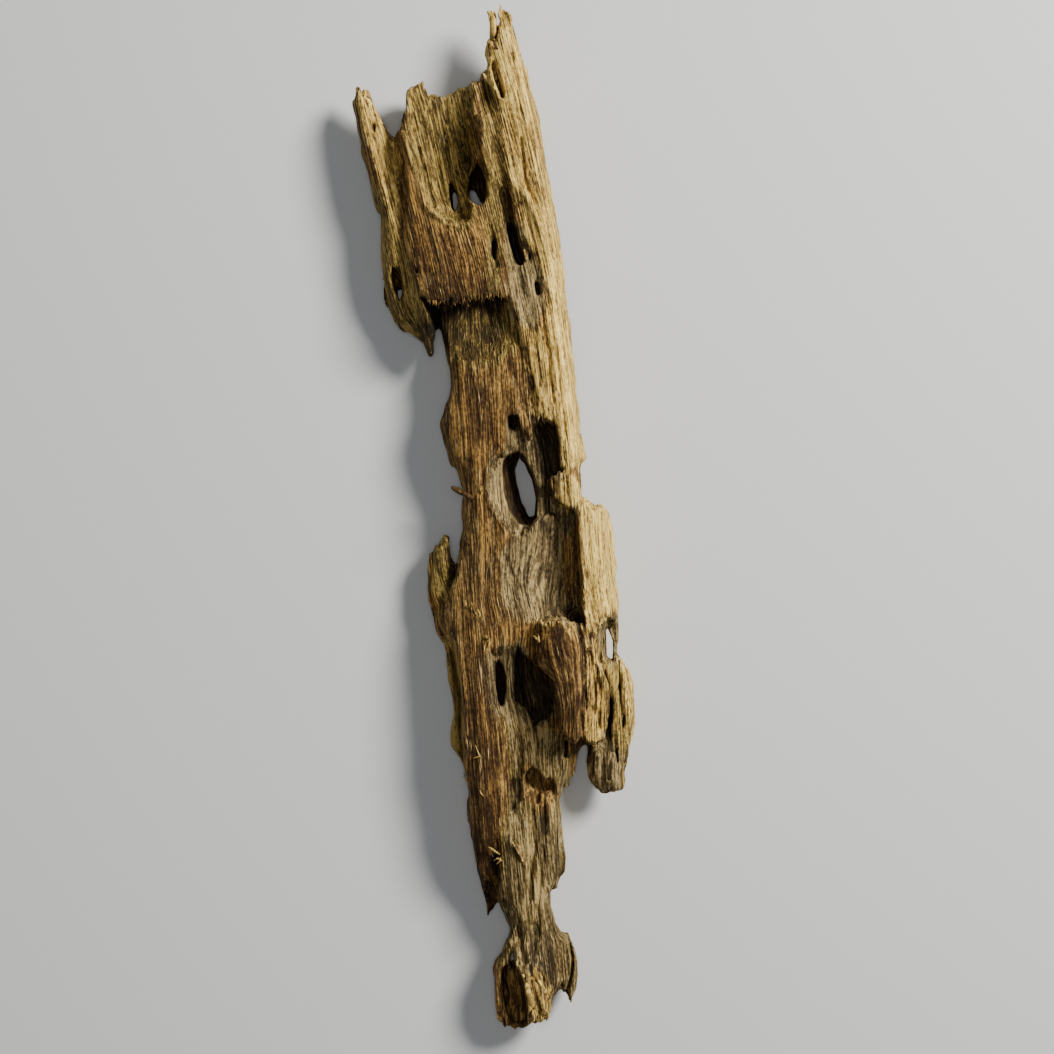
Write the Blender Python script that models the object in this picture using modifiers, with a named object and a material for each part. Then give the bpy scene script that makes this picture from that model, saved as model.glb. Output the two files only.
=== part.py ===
"""A flat piece of weathered driftwood, lying on its back on a level surface.

The origin is under its middle, on the surface that it rests on. +Y runs along the grain to the tall spike,
+X to the pale ridge and +Z up to its weathered front. The wood is one solid, built up from plates that
follow its broken layers, cut by its hollows and holes, and then worn round.
"""

import bmesh
import bpy
import numpy as np

MM = 0.001

# Driving dimensions, in metres
LENGTH = 287 * MM
BASE_THICKNESS = 11 * MM
PLATE_ROOT = 3 * MM
FRONT_PLATE_TOP = 18.5 * MM
LEFT_LOBE_TOP = 15 * MM
LOWER_FRONT_TOP = 17 * MM
RIGHT_BLOCK_TOP = 19 * MM
MIDDLE_LAYER_TOP = 20 * MM
RIDGE_TOP = 22 * MM
NOSE_TOP = 26.5 * MM
RIGHT_LOBE_TOP = 13.5 * MM
STEM_TOP = 13.5 * MM
FOOT_TOP = 17 * MM
RECESS_FLOOR = 8.5 * MM
CHANNEL_FLOOR = 7.5 * MM
POCKET_FLOOR = 3.5 * MM
ARCH_HEIGHT = 2.6 * MM
ARCH_WIDTH = 16 * MM
EDGE_LIFT = 6 * MM
EDGE_DROOP = 0.34
EDGE_WIDTH = 3.6 * MM
SPIKE_TAPER = 0.4
SPIKE_TAPER_LENGTH = 34 * MM
SWELL_HEIGHT = 0.6 * MM
SWELL_LENGTH = 31 * MM
SWELL_SLANT = 3
REST_DEPTH = 0.55 * MM
NEUTRAL_HEIGHT = 9 * MM

# Mesh sizes, in metres
VOXEL = 1.15 * MM
WELD = 0.01 * MM
TRIANGLES = 9200
CLEAR_OF_ALL = 60 * MM

# Outlines are given in pixels of the 1054 pixel photograph, and scaled to the real length
TOP_PIXEL = 5.4
FOOT_PIXEL = 1030.7
METRES_PER_PIXEL = LENGTH / (FOOT_PIXEL - TOP_PIXEL)
MIDDLE_PIXEL = (494.5, 518.5)

# Rows along the length where the underside touches the surface, and an outline wider than the wood
RESTING_ROWS = (140, 430, 700, 985)
SURFACE = ((300, -100), (700, -100), (700, 1150), (300, 1150))

SILHOUETTE = (
    (498, 3), (510, 6), (518, 30), (525, 60), (532, 95), (541, 135), (550, 186), (558, 227), (566, 289),
    (574, 370), (580, 433), (585, 458), (578, 472), (581, 497), (595, 505), (608, 510), (613, 545),
    (620, 606), (619, 640), (624, 657), (631, 669), (638, 712), (631, 750), (622, 790), (600, 790),
    (591, 772), (590, 746), (583, 746), (575, 768), (562, 789), (559, 805), (565, 860), (558, 885),
    (552, 900), (556, 922), (568, 937), (580, 965), (577, 990), (570, 1006), (560, 995), (551, 1003),
    (548, 1019), (522, 1034), (504, 1029), (492, 993), (494, 968), (505, 943), (510, 930), (502, 916),
    (496, 909), (488, 922), (481, 908), (474, 852), (466, 800), (458, 760), (451, 740), (452, 712),
    (448, 680), (446, 650), (437, 631), (428, 596), (427, 570), (429, 553), (443, 533), (449, 541),
    (456, 561), (461, 547), (462, 500), (458, 472), (445, 443), (441, 425), (448, 402), (451, 375),
    (446, 352), (442, 331), (435, 333), (432, 355), (421, 343), (412, 331), (398, 329), (386, 303),
    (380, 270), (381, 216), (372, 190), (361, 150), (351, 101), (354, 82), (366, 84), (375, 103),
    (387, 127), (395, 135), (402, 128), (405, 104), (410, 86), (422, 85), (430, 94), (450, 94),
    (468, 87), (481, 77), (488, 71), (484, 45), (487, 12),
)

FRONT_PLATES = {
    "upper_front": (
        (402, 128), (405, 104), (410, 86), (422, 85), (430, 94), (450, 94), (468, 87), (481, 77),
        (500, 110), (508, 296), (485, 299), (443, 306), (424, 300), (408, 292), (401, 230), (397, 160),
    ),
    "left_lobe": (
        (352, 101), (355, 84), (366, 86), (387, 127), (397, 140), (404, 230), (412, 300), (420, 326),
        (398, 328), (386, 303), (381, 270), (382, 216), (362, 150),
    ),
    "ridge": (
        (487, 12), (498, 6), (510, 9), (525, 60), (541, 135), (558, 227), (566, 289), (574, 370),
        (580, 433), (585, 458), (578, 472), (566, 475), (561, 450), (558, 424), (546, 417), (536, 422),
        (530, 435), (528, 404), (534, 388), (521, 345), (507, 299), (503, 200), (486, 100), (484, 45),
    ),
    "lower_front": (
        (446, 352), (514, 322), (528, 390), (530, 434), (521, 415), (507, 416), (505, 446), (488, 469),
        (486, 495), (504, 530), (522, 560), (545, 612), (556, 640), (519, 645), (498, 650), (486, 664),
        (488, 706), (506, 725), (507, 790), (503, 835), (497, 855), (496, 905), (488, 921), (481, 905),
        (466, 800), (462, 740), (461, 680), (455, 650), (440, 615), (452, 575), (461, 547), (462, 500),
        (458, 472), (445, 443), (441, 425), (448, 402), (451, 375),
    ),
    "right_block": (
        (579, 510), (581, 497), (595, 505), (608, 510), (613, 545), (620, 606), (613, 622), (598, 634),
        (586, 626), (581, 560),
    ),
    "middle_layer": (
        (560, 622), (581, 628), (598, 640), (609, 689), (606, 738), (591, 744), (577, 738), (570, 700),
    ),
    "right_lobe": (
        (606, 660), (624, 657), (631, 669), (638, 712), (631, 750), (622, 790), (600, 790), (594, 772),
        (596, 745), (608, 735),
    ),
    "nose": (
        (522, 632), (538, 620), (571, 619), (577, 635), (582, 681), (577, 736), (564, 737), (556, 712),
        (553, 680), (541, 658),
    ),
    "stem": (
        (506, 735), (577, 742), (574, 768), (562, 789), (559, 805), (565, 860), (552, 900), (552, 930),
        (512, 930), (499, 905), (493, 850), (503, 835),
    ),
    "foot": (
        (512, 928), (530, 932), (543, 960), (551, 1003), (548, 1019), (522, 1030), (504, 1026),
        (494, 993), (496, 968), (505, 943),
    ),
}
PLATE_TOPS = {
    "upper_front": FRONT_PLATE_TOP,
    "left_lobe": LEFT_LOBE_TOP,
    "ridge": RIDGE_TOP,
    "lower_front": LOWER_FRONT_TOP,
    "right_block": RIGHT_BLOCK_TOP,
    "middle_layer": MIDDLE_LAYER_TOP,
    "right_lobe": RIGHT_LOBE_TOP,
    "nose": NOSE_TOP,
    "stem": STEM_TOP,
    "foot": FOOT_TOP,
}

# Flat-floored hollows, cut from the front down to a floor
HOLLOWS = {
    "twin_pit": (
        RECESS_FLOOR,
        (
            (506, 417), (521, 415), (529, 436), (536, 420), (556, 420), (562, 450), (566, 474), (556, 476),
            (552, 492), (558, 506), (536, 520), (519, 526), (503, 500), (501, 464), (506, 447),
        ),
    ),
    "channel": (
        CHANNEL_FLOOR,
        ((540, 512), (558, 505), (578, 511), (581, 560), (584, 590), (583, 616), (560, 618), (544, 600)),
    ),
    "eye_socket": (
        POCKET_FLOOR,
        ((519, 645), (541, 665), (554, 688), (553, 708), (543, 724), (533, 724), (514, 702), (513, 665)),
    ),
    "slot_by_socket": (9 * MM, ((495, 661), (505, 672), (507, 700), (499, 706), (494, 685))),
    "lower_arch": (6 * MM, ((523, 777), (532, 767), (547, 776), (554, 786), (553, 797), (538, 800), (524, 790))),
    "foot_bowl": (7 * MM, ((499, 972), (520, 966), (532, 990), (530, 1018), (510, 1023), (498, 1000))),
}

# Holes that go right through
THROUGH_HOLES = {
    "left_eye": ((449, 181), (456, 187), (459, 203), (455, 214), (449, 205)),
    "right_eye": ((477, 164), (485, 176), (488, 200), (478, 208), (468, 201), (468, 184)),
    "lobe_hole": ((391, 266), (401, 272), (404, 293), (398, 302), (391, 288)),
    "window": ((519, 453), (528, 466), (536, 483), (537, 505), (531, 518), (520, 501), (513, 467)),
    "block_hole": ((608, 626), (613, 640), (613, 661), (605, 655), (602, 641)),
    "foot_hole": ((511, 947), (517, 956), (516, 971), (508, 969)),
}

# Round-bottomed hollows: middle pixel, height of the middle, and the three radii
SCOOPS = {
    "bowl": ((440, 142), 24 * MM, (8.6 * MM, 24 * MM, 13 * MM)),
    "bowl_mouth": ((447, 92), 23 * MM, (11 * MM, 16 * MM, 11 * MM)),
    "ledge_shadow": ((470, 312), 15.5 * MM, (15 * MM, 4.5 * MM, 3.2 * MM)),
    "ridge_groove": ((515, 238), 21 * MM, (1.9 * MM, 10 * MM, 10 * MM)),
    "left_tunnel": ((514, 413), 13 * MM, (2.6 * MM, 7 * MM, 4 * MM)),
    "right_tunnel": ((547, 414), 13 * MM, (3.2 * MM, 8 * MM, 4.5 * MM)),
    "slope_to_channel": ((548, 560), 19 * MM, (8 * MM, 20 * MM, 9 * MM)),
    "under_nose": ((573, 616), 14 * MM, (3 * MM, 8 * MM, 5 * MM)),
}


def placed(pixel):
    """World x and y of a pixel, with +Y up the photograph."""
    across, down = pixel
    x = (across - MIDDLE_PIXEL[0]) * METRES_PER_PIXEL
    y = (MIDDLE_PIXEL[1] - down) * METRES_PER_PIXEL
    return x, y


def new_collection(name):
    collection = bpy.data.collections.new(name)
    bpy.context.scene.collection.children.link(collection)
    return collection


def as_helper(obj):
    obj.hide_render = True
    obj.display_type = "WIRE"
    return obj


def plate(name, outline, bottom, top, collection):
    """A flat plate with the outline, from one height to another, as a welded mesh."""
    curve = bpy.data.curves.new(name, "CURVE")
    curve.dimensions = "2D"
    curve.fill_mode = "BOTH"
    curve.extrude = (top - bottom) / 2
    spline = curve.splines.new("POLY")
    spline.points.add(len(outline) - 1)
    for point, pixel in zip(spline.points, outline):
        point.co = (*placed(pixel), 0, 1)
    spline.use_cyclic_u = True
    flat = bpy.data.objects.new(name + "_outline", curve)
    collection.objects.link(flat)
    flat.location.z = (top + bottom) / 2
    bpy.context.view_layer.update()
    graph = bpy.context.evaluated_depsgraph_get()
    mesh = bpy.data.meshes.new_from_object(flat.evaluated_get(graph))
    shape = bmesh.new()
    shape.from_mesh(mesh)
    bmesh.ops.remove_doubles(shape, verts=shape.verts, dist=WELD)
    bmesh.ops.recalc_face_normals(shape, faces=shape.faces)
    shape.to_mesh(mesh)
    shape.free()
    solid = bpy.data.objects.new(name, mesh)
    solid.matrix_world = flat.matrix_world
    collection.objects.link(solid)
    bpy.data.objects.remove(flat)
    return solid


def scoop(name, pixel, height, radii, collection):
    """An ellipsoid cutter, its middle over a pixel at a height."""
    mesh = bpy.data.meshes.new(name)
    shape = bmesh.new()
    bmesh.ops.create_uvsphere(shape, u_segments=24, v_segments=14, radius=1)
    bmesh.ops.scale(shape, vec=radii, verts=shape.verts)
    shape.to_mesh(mesh)
    shape.free()
    solid = bpy.data.objects.new(name, mesh)
    solid.location = (*placed(pixel), height)
    collection.objects.link(solid)
    return solid


def boolean(target, tool, operation):
    modifier = target.modifiers.new(tool.name, "BOOLEAN")
    modifier.solver = "EXACT"
    modifier.operation = operation
    modifier.object = as_helper(tool)


def freeze(obj):
    """Puts the evaluated shape into the object's own mesh, and drops its modifiers."""
    bpy.context.view_layer.update()
    graph = bpy.context.evaluated_depsgraph_get()
    obj.data = bpy.data.meshes.new_from_object(obj.evaluated_get(graph))
    obj.modifiers.clear()


def edge_distance(places):
    """Distance in x and y from each place to the nearest side of the silhouette."""
    corners = np.array([placed(pixel) for pixel in SILHOUETTE])
    nearest = np.full(len(places), np.inf)
    for start, end in zip(corners, np.roll(corners, -1, axis=0)):
        along = end - start
        share = np.clip((places - start) @ along / (along @ along), 0, 1)
        gap = np.linalg.norm(places - start - share[:, None] * along, axis=1)
        nearest = np.minimum(nearest, gap)
    return nearest


def wear(obj):
    """Bows the underside between its resting rows, and rounds both faces towards the silhouette.

    The underside rises by the arch height halfway between two resting rows and by the edge lift at the
    silhouette. The front sinks by a share of its height there and towards the tip of the tall spike, and
    swells a little in long waves. Heights between change in proportion.
    """
    mesh = obj.data
    flat = np.empty(len(mesh.vertices) * 3, np.float32)
    mesh.vertices.foreach_get("co", flat)
    points = flat.reshape(-1, 3).astype(float)
    rows = np.array([placed((0, row))[1] for row in RESTING_ROWS])
    nearest_row = np.abs(points[:, 1:2] - rows).min(axis=1)
    arch = ARCH_HEIGHT * (1 - np.exp(-((nearest_row / ARCH_WIDTH) ** 2)))
    near_edge = np.exp(-edge_distance(points[:, :2]) / EDGE_WIDTH)
    spike_tip = placed((0, TOP_PIXEL))[1]
    near_tip = np.clip(1 - (spike_tip - points[:, 1]) / SPIKE_TAPER_LENGTH, 0, 1)
    lift = arch + EDGE_LIFT * np.maximum(near_edge, near_tip) - REST_DEPTH
    swell = np.sin((2 * np.pi * points[:, 1] + SWELL_SLANT * points[:, 0]) / SWELL_LENGTH)
    height = points[:, 2]
    over = height - NEUTRAL_HEIGHT
    below = NEUTRAL_HEIGHT + over * (NEUTRAL_HEIGHT - lift) / NEUTRAL_HEIGHT
    above = NEUTRAL_HEIGHT + over * (1 - EDGE_DROOP * near_edge) * (1 - SPIKE_TAPER * near_tip)
    above += SWELL_HEIGHT * swell * np.clip(over / NEUTRAL_HEIGHT, 0, 1)
    points[:, 2] = np.where(over < 0, below, above)
    mesh.vertices.foreach_set("co", points.astype(np.float32).ravel())
    mesh.update()


def wood_material():
    material = bpy.data.materials.new("weathered wood")
    material.use_nodes = True
    shader = material.node_tree.nodes["Principled BSDF"]
    shader.inputs["Base Color"].default_value = (0.26, 0.15, 0.06, 1)
    shader.inputs["Roughness"].default_value = 0.85
    shader.inputs["Metallic"].default_value = 0
    return material


def build():
    for obj in list(bpy.data.objects):
        bpy.data.objects.remove(obj)
    parts = new_collection("driftwood piece")
    cutters = new_collection("layers and cutters")

    wood = plate("driftwood", SILHOUETTE, 0, BASE_THICKNESS, parts)
    for name, outline in FRONT_PLATES.items():
        boolean(wood, plate(name, outline, PLATE_ROOT, PLATE_TOPS[name], cutters), "UNION")
    for name, (floor, outline) in HOLLOWS.items():
        boolean(wood, plate(name, outline, floor, CLEAR_OF_ALL, cutters), "DIFFERENCE")
    for name, outline in THROUGH_HOLES.items():
        boolean(wood, plate(name, outline, -CLEAR_OF_ALL, CLEAR_OF_ALL, cutters), "DIFFERENCE")
    for name, (pixel, height, radii) in SCOOPS.items():
        boolean(wood, scoop(name, pixel, height, radii, cutters), "DIFFERENCE")

    remesh = wood.modifiers.new("even faces", "REMESH")
    remesh.mode = "VOXEL"
    remesh.voxel_size = VOXEL
    smooth = wood.modifiers.new("worn edges", "SMOOTH")
    smooth.factor = 0.5
    smooth.iterations = 4
    freeze(wood)
    wear(wood)

    wood.data.materials.clear()
    wood.data.materials.append(wood_material())
    thin = wood.modifiers.new("fewer faces", "DECIMATE")
    thin.ratio = TRIANGLES / (2 * len(wood.data.polygons))
    below = plate("resting_surface", SURFACE, -CLEAR_OF_ALL, 0, cutters)
    boolean(wood, below, "DIFFERENCE")
    wood.data.shade_smooth()


build()
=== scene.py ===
"""A long flat piece of weathered driftwood, lying on its back and seen from above.

The wood is one closed surface. Its front is a sheet of heights over the plan, creased along the grain and
then broken by ledges, lobes and hollows. Its back is a second sheet. Both sheets, the outline and the caves
that run under the ledges are joined on a fine grid of points, and the surface where they meet the air is
turned into faces. Grain is then raised on it.

Plan places are pixels of the 1054 pixel photograph: across, then down. Heights are millimetres.
"""

import math

import bpy
import numpy as np
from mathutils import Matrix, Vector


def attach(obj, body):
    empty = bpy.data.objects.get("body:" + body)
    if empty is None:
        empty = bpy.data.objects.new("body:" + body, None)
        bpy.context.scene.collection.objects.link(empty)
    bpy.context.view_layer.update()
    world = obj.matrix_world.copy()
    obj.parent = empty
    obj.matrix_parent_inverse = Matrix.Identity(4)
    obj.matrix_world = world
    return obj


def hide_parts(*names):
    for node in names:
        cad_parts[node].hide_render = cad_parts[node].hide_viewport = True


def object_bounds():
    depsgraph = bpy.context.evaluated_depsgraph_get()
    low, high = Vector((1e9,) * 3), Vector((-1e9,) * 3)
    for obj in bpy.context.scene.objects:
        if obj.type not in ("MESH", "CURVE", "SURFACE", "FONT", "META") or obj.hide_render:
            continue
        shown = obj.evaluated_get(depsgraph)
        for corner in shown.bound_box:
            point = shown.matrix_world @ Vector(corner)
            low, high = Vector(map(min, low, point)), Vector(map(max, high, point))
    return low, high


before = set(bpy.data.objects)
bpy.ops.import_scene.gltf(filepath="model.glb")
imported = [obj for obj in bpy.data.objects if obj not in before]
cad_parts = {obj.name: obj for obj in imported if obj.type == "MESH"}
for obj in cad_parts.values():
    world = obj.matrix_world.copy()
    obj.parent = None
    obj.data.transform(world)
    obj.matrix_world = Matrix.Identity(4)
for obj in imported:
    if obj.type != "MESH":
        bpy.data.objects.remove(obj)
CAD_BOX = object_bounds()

MM = 0.001

# Real size, and where the photograph's pixels lie
LENGTH = 287.0
TOP_PIXEL = 5.4
FOOT_PIXEL = 1030.7
MM_PER_PIXEL = LENGTH / (FOOT_PIXEL - TOP_PIXEL)
MIDDLE_PIXEL = (494.5, 518.5)
PHOTO_SIDE = 1054

# Steps of the grid in millimetres: across the grain, along it, and up
STEP_ACROSS = 0.38
STEP_ALONG = 0.76
STEP_UP = 0.46

# Limits of the grid in millimetres
HALF_WIDTH = 41.0
HALF_LENGTH = 145.0
LOWEST = -0.76
HIGHEST = 28.6

# Most triangles that the thinned wood keeps, and the least gap in mm to the sides of the CAD model's box
MOST_TRIANGLES = 197000
BOX_MARGIN = 0.02

# Rows of the photograph where the back reaches down to what the piece rests on
RESTING_ROWS = (140.0, 430.0, 700.0, 985.0)

# Rows above this one belong to the upper layer alone
UPPER_ROWS = 296

# Lines of sight that measure how open each place is to the light, and the reaches along them in mm
SIGHT_LINES = 48
SIGHT = (0.6, 1.3, 2.2, 3.3, 4.8, 6.8, 9.4, 12.6)


# From the photograph's pixels to millimetres, and back
def to_x(across):
    return (across - MIDDLE_PIXEL[0]) * MM_PER_PIXEL


def to_y(down):
    return (MIDDLE_PIXEL[1] - down) * MM_PER_PIXEL


def to_across(x):
    return x / MM_PER_PIXEL + MIDDLE_PIXEL[0]


def to_down(y):
    return MIDDLE_PIXEL[1] - y / MM_PER_PIXEL


def ease(low, high, value):
    """0 at low and before it, 1 at high and past it, and an S curve between, t * t * (3 - 2 t)."""
    t = np.clip((value - low) / (high - low), 0, 1)
    return t * t * (3 - 2 * t)


def mix(first, second, share):
    return first + (second - first) * share


def soft_max(first, second, radius):
    """The larger of two fields, with the crease between them rounded over the radius."""
    overlap = np.clip(radius - np.abs(first - second), 0, None)
    return np.maximum(first, second) + overlap * overlap / (4 * radius)


def soft_min(first, second, radius):
    return -soft_max(-first, -second, radius)


def blurred(grid, reach, rounds=2):
    """The mean of a grid over a window of 2 * reach + 1 steps each way, taken again each round."""
    for _ in range(rounds):
        for axis in (0, 1):
            pad = [(0, 0), (0, 0)]
            pad[axis] = (reach + 1, reach)
            total = np.cumsum(np.pad(grid, pad, mode="edge"), axis=axis)
            count = grid.shape[axis]
            ahead = np.take(total, range(2 * reach + 1, 2 * reach + 1 + count), axis=axis)
            behind = np.take(total, range(count), axis=axis)
            grid = (ahead - behind) / (2 * reach + 1)
    return grid


def sample(grid, x, y, place_x, place_y):
    """Values of a grid over the plan at given places, blended from the four nearest grid points."""
    i = np.clip((place_x - x[0]) / (x[1] - x[0]), 0, len(x) - 1.001)
    j = np.clip((place_y - y[0]) / (y[1] - y[0]), 0, len(y) - 1.001)
    left, low = i.astype(int), j.astype(int)
    right, up = i - left, j - low
    near = mix(grid[left, low], grid[left + 1, low], right)
    far = mix(grid[left, low + 1], grid[left + 1, low + 1], right)
    return mix(near, far, up)


def scatter(i, j, k, seed):
    """A repeatable number from -1 to 1 for each whole-number place, by multiplying and mixing bits."""
    mixed = (i * 73856093) ^ (j * 19349663) ^ (k * 83492791) ^ (seed * 2654435761)
    mixed = mixed & 0xFFFFFFFF
    mixed = ((mixed ^ (mixed >> 15)) * 0x2C1B3C6D) & 0xFFFFFFFF
    mixed = ((mixed ^ (mixed >> 12)) * 0x297A2D39) & 0xFFFFFFFF
    mixed = mixed ^ (mixed >> 15)
    return mixed / 2147483648.0 - 1


def noise(x, y, z=0.0, seed=0):
    """Smooth noise: the scattered numbers at the eight corners round a place, blended by S curves.

    It lies between -1 and 1, and each seed gives another pattern.
    """
    x, y, z = np.broadcast_arrays(x, y, z)
    i, j, k = np.floor(x).astype(np.int64), np.floor(y).astype(np.int64), np.floor(z).astype(np.int64)
    u, v, w = x - i, y - j, z - k
    u, v, w = u * u * (3 - 2 * u), v * v * (3 - 2 * v), w * w * (3 - 2 * w)
    layers = []
    for dk in (0, 1):
        rows = []
        for dj in (0, 1):
            left = scatter(i, j + dj, k + dk, seed)
            right = scatter(i + 1, j + dj, k + dk, seed)
            rows.append(mix(left, right, u))
        layers.append(mix(rows[0], rows[1], v))
    return mix(layers[0], layers[1], w)


# The outline, clockwise from the tip of the tall spike
SILHOUETTE = (
    (503, 5.4), (508, 11), (514.5, 27), (519, 43), (522.5, 55), (528, 76), (531.5, 95), (536, 107),
    (540.5, 135), (545.5, 163), (550, 186), (554.6, 209), (558, 227), (562.7, 255), (566, 289), (569, 330),
    (574, 370), (577.3, 405), (579.6, 433), (583, 453), (585.5, 458), (579.5, 461), (578, 469), (579, 486),
    (581, 497.5), (588, 502), (595, 505.5), (604, 508), (608.8, 520), (612, 540), (614.6, 570), (617.5, 588),
    (620, 606), (619, 629), (617, 653), (620.4, 656), (629, 666), (635, 687), (638.2, 712), (635.7, 730),
    (630.6, 750), (623, 771), (624, 788), (620, 793), (604, 794), (595, 792), (591, 783), (590, 766),
    (588, 745), (585.5, 744.5), (579.6, 752), (575.5, 766), (571, 781), (562.5, 789), (558.4, 803.5),
    (561, 822), (561.4, 837), (564.5, 858), (564.6, 873), (558, 884.5), (552, 894), (552, 906),
    (554.4, 919), (562, 930.6), (568.4, 937), (575, 950), (578.6, 962.5), (579.3, 978), (576.7, 992),
    (572, 1000.7), (571, 1006), (567, 1003), (560.8, 993), (554.4, 998), (551.2, 1003), (550.6, 1011),
    (548, 1018.6), (536.5, 1022.4), (529, 1025), (522.5, 1030.7), (515, 1030), (504.6, 1027.5),
    (498.3, 1018.6), (494.4, 1006), (492.5, 993), (494.4, 970), (499.5, 955), (507, 939.5), (511, 934),
    (509.7, 929), (504.6, 919), (499.5, 915), (497, 909), (491.6, 917), (488.4, 927), (485, 924),
    (483.6, 910), (481.7, 891), (477.8, 873), (474.7, 852), (470.6, 832), (467.6, 815), (466.5, 801),
    (468.6, 793), (465.5, 786), (463.5, 773), (457.5, 760), (451.7, 748), (450.7, 727), (453.3, 712),
    (451.2, 691), (448.2, 681), (447, 654), (443, 642), (437.7, 632), (431.4, 616), (428, 596), (427, 570),
    (428, 554), (434, 547), (440.4, 542), (443, 534), (447.5, 536), (451, 548.6), (457, 561), (461.3, 547),
    (461.8, 520), (462.3, 501), (461.8, 491), (458.4, 472), (449.8, 455), (444, 441.5), (440.7, 428),
    (441.8, 414), (447.6, 402.5), (451.6, 387.6), (451, 370), (446.4, 353), (443.5, 336), (441, 329),
    (437.7, 328), (434.3, 334), (432.6, 343), (432, 354), (429.7, 353), (422.8, 344), (416, 334),
    (410, 331.5), (398.7, 329), (391.8, 320), (385, 300.5), (380.3, 277.6), (379.8, 249), (380.9, 215.6),
    (374, 199), (369.5, 180.5), (363, 156), (358, 136), (353.4, 113.6), (351.6, 101), (354.7, 96.6),
    (353.4, 83), (360, 82), (361.4, 89.5), (366, 85.4), (370.4, 93), (375.7, 106.4), (381, 119),
    (387.3, 127), (393.6, 135.5), (397, 135.5), (401.6, 129.6), (401.6, 120.7), (406, 110), (406.5, 91),
    (411.4, 87), (416, 84.6), (421.7, 84.6), (422, 91), (429, 94), (436.4, 95.7), (448, 95), (453.4, 91.3),
    (465, 87.7), (470.7, 84.8), (480.5, 80.4), (482, 75), (488.6, 71), (488, 63), (485, 55), (486, 42),
    (491, 40), (488.4, 27), (486.4, 13), (491, 11.6), (496.4, 14), (497.6, 25), (499.4, 25), (498.8, 12),
    (500, 7.6),
)

# Creases of the front sheet, from the left side to the right. Each point is (across, down, height)
UPPER_CREASES = (
    ((340, 0, 4), (349, 84, 5), (346, 101, 6), (352, 136, 6), (363, 180, 6), (374, 215, 6), (373, 260, 6),
     (380, 300, 5), (392, 335, 4)),
    ((357, 0, 8), (357, 84, 9.5), (358, 101, 12.5), (365, 136, 14), (376, 180, 14.6), (387, 215, 14.6),
     (387, 250, 13.6), (389, 280, 12.4), (394, 305, 11), (404, 335, 9)),
    ((364, 0, 8), (364, 84, 9), (371, 105, 12.4), (383, 136, 12.6), (389, 180, 13), (397, 215, 14.2),
     (400, 250, 13.8), (405, 280, 13.4), (409, 305, 12.4), (415, 335, 10)),
    ((370, 0, 7), (370, 84, 8), (379, 108, 10), (394, 136, 10.6), (398, 165, 11.6), (403, 200, 14.2),
     (407, 240, 15.8), (411, 275, 15.8), (417, 305, 15), (421, 335, 12)),
    ((403, 0, 15), (403, 100, 16.5), (402, 136, 18.2), (407, 160, 18.6), (412, 200, 18.4), (418, 240, 18),
     (421, 275, 18), (426, 305, 17.6), (428, 335, 17)),
    ((440, 0, 17.5), (440, 90, 17.8), (440, 200, 19), (445, 260, 19.3), (445, 335, 19)),
    ((478, 0, 13), (478, 70, 16.5), (479, 100, 17.4), (481, 140, 18.2), (485, 200, 19.2), (487, 260, 19.2),
     (490, 335, 19)),
    ((484, 0, 13.4), (485, 60, 15.6), (488, 90, 16.6), (492, 140, 18.8), (498, 200, 19.0), (502, 240, 18.0),
     (506, 300, 18), (512, 335, 18)),
    ((497, 0, 14), (501, 60, 17), (505, 100, 19.4), (510, 150, 20.4), (514, 190, 20.8), (524, 210, 20.2),
     (529, 240, 19.0), (532, 290, 18.8), (536, 335, 19.4)),
    ((504, 0, 13.5), (512, 40, 16.5), (521, 90, 19.6), (531, 140, 21), (539, 190, 21.2), (546, 230, 20.4),
     (552, 280, 20.2), (555, 335, 20.4)),
    ((511, 0, 9), (520, 35, 11), (532, 80, 13), (545, 135, 14), (554, 186, 14), (562, 230, 13.4),
     (571, 289, 12.6), (575, 335, 12)),
)
MIDDLE_CREASES = (
    ((436, 300, 9), (439, 345, 9), (444, 385, 9), (434, 420, 9), (443, 455, 9), (455, 490, 8), (455, 540, 9),
     (444, 575, 10), (434, 620, 10)),
    ((446, 300, 15), (449, 345, 14.6), (455, 385, 15.6), (446, 420, 15.2), (454, 455, 15.6), (465, 490, 15),
     (466, 540, 15.4), (459, 575, 15), (450, 620, 15)),
    ((466, 300, 17), (466, 345, 16.6), (470, 385, 17.2), (470, 420, 17.4), (474, 455, 17.2),
     (478, 490, 16.8), (480, 540, 17), (480, 575, 17.4), (475, 620, 18.2)),
    ((506, 300, 17.4), (519, 340, 17.2), (524, 361, 17.6), (532, 381, 17.4), (533, 402, 17),
     (532, 430, 17), (520, 490, 16.6), (508, 540, 16.8), (512, 575, 17), (520, 620, 18)),
    ((512, 300, 18.9), (523, 340, 19.2), (536, 380, 18.6), (539, 402, 18.4), (546, 430, 18.2),
     (562, 490, 16), (560, 540, 17), (556, 620, 18)),
    ((548, 300, 20.4), (556, 340, 20.2), (563, 380, 19.6), (568, 420, 19), (572, 455, 18), (571, 480, 16.6),
     (585, 510, 19.6), (588, 560, 19.8), (590, 620, 18.6)),
    ((570, 300, 12.5), (576, 345, 12), (582, 405, 11.5), (588, 455, 11), (586, 485, 11), (612, 510, 13),
     (619, 560, 12.6), (625, 620, 11)),
)
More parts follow.
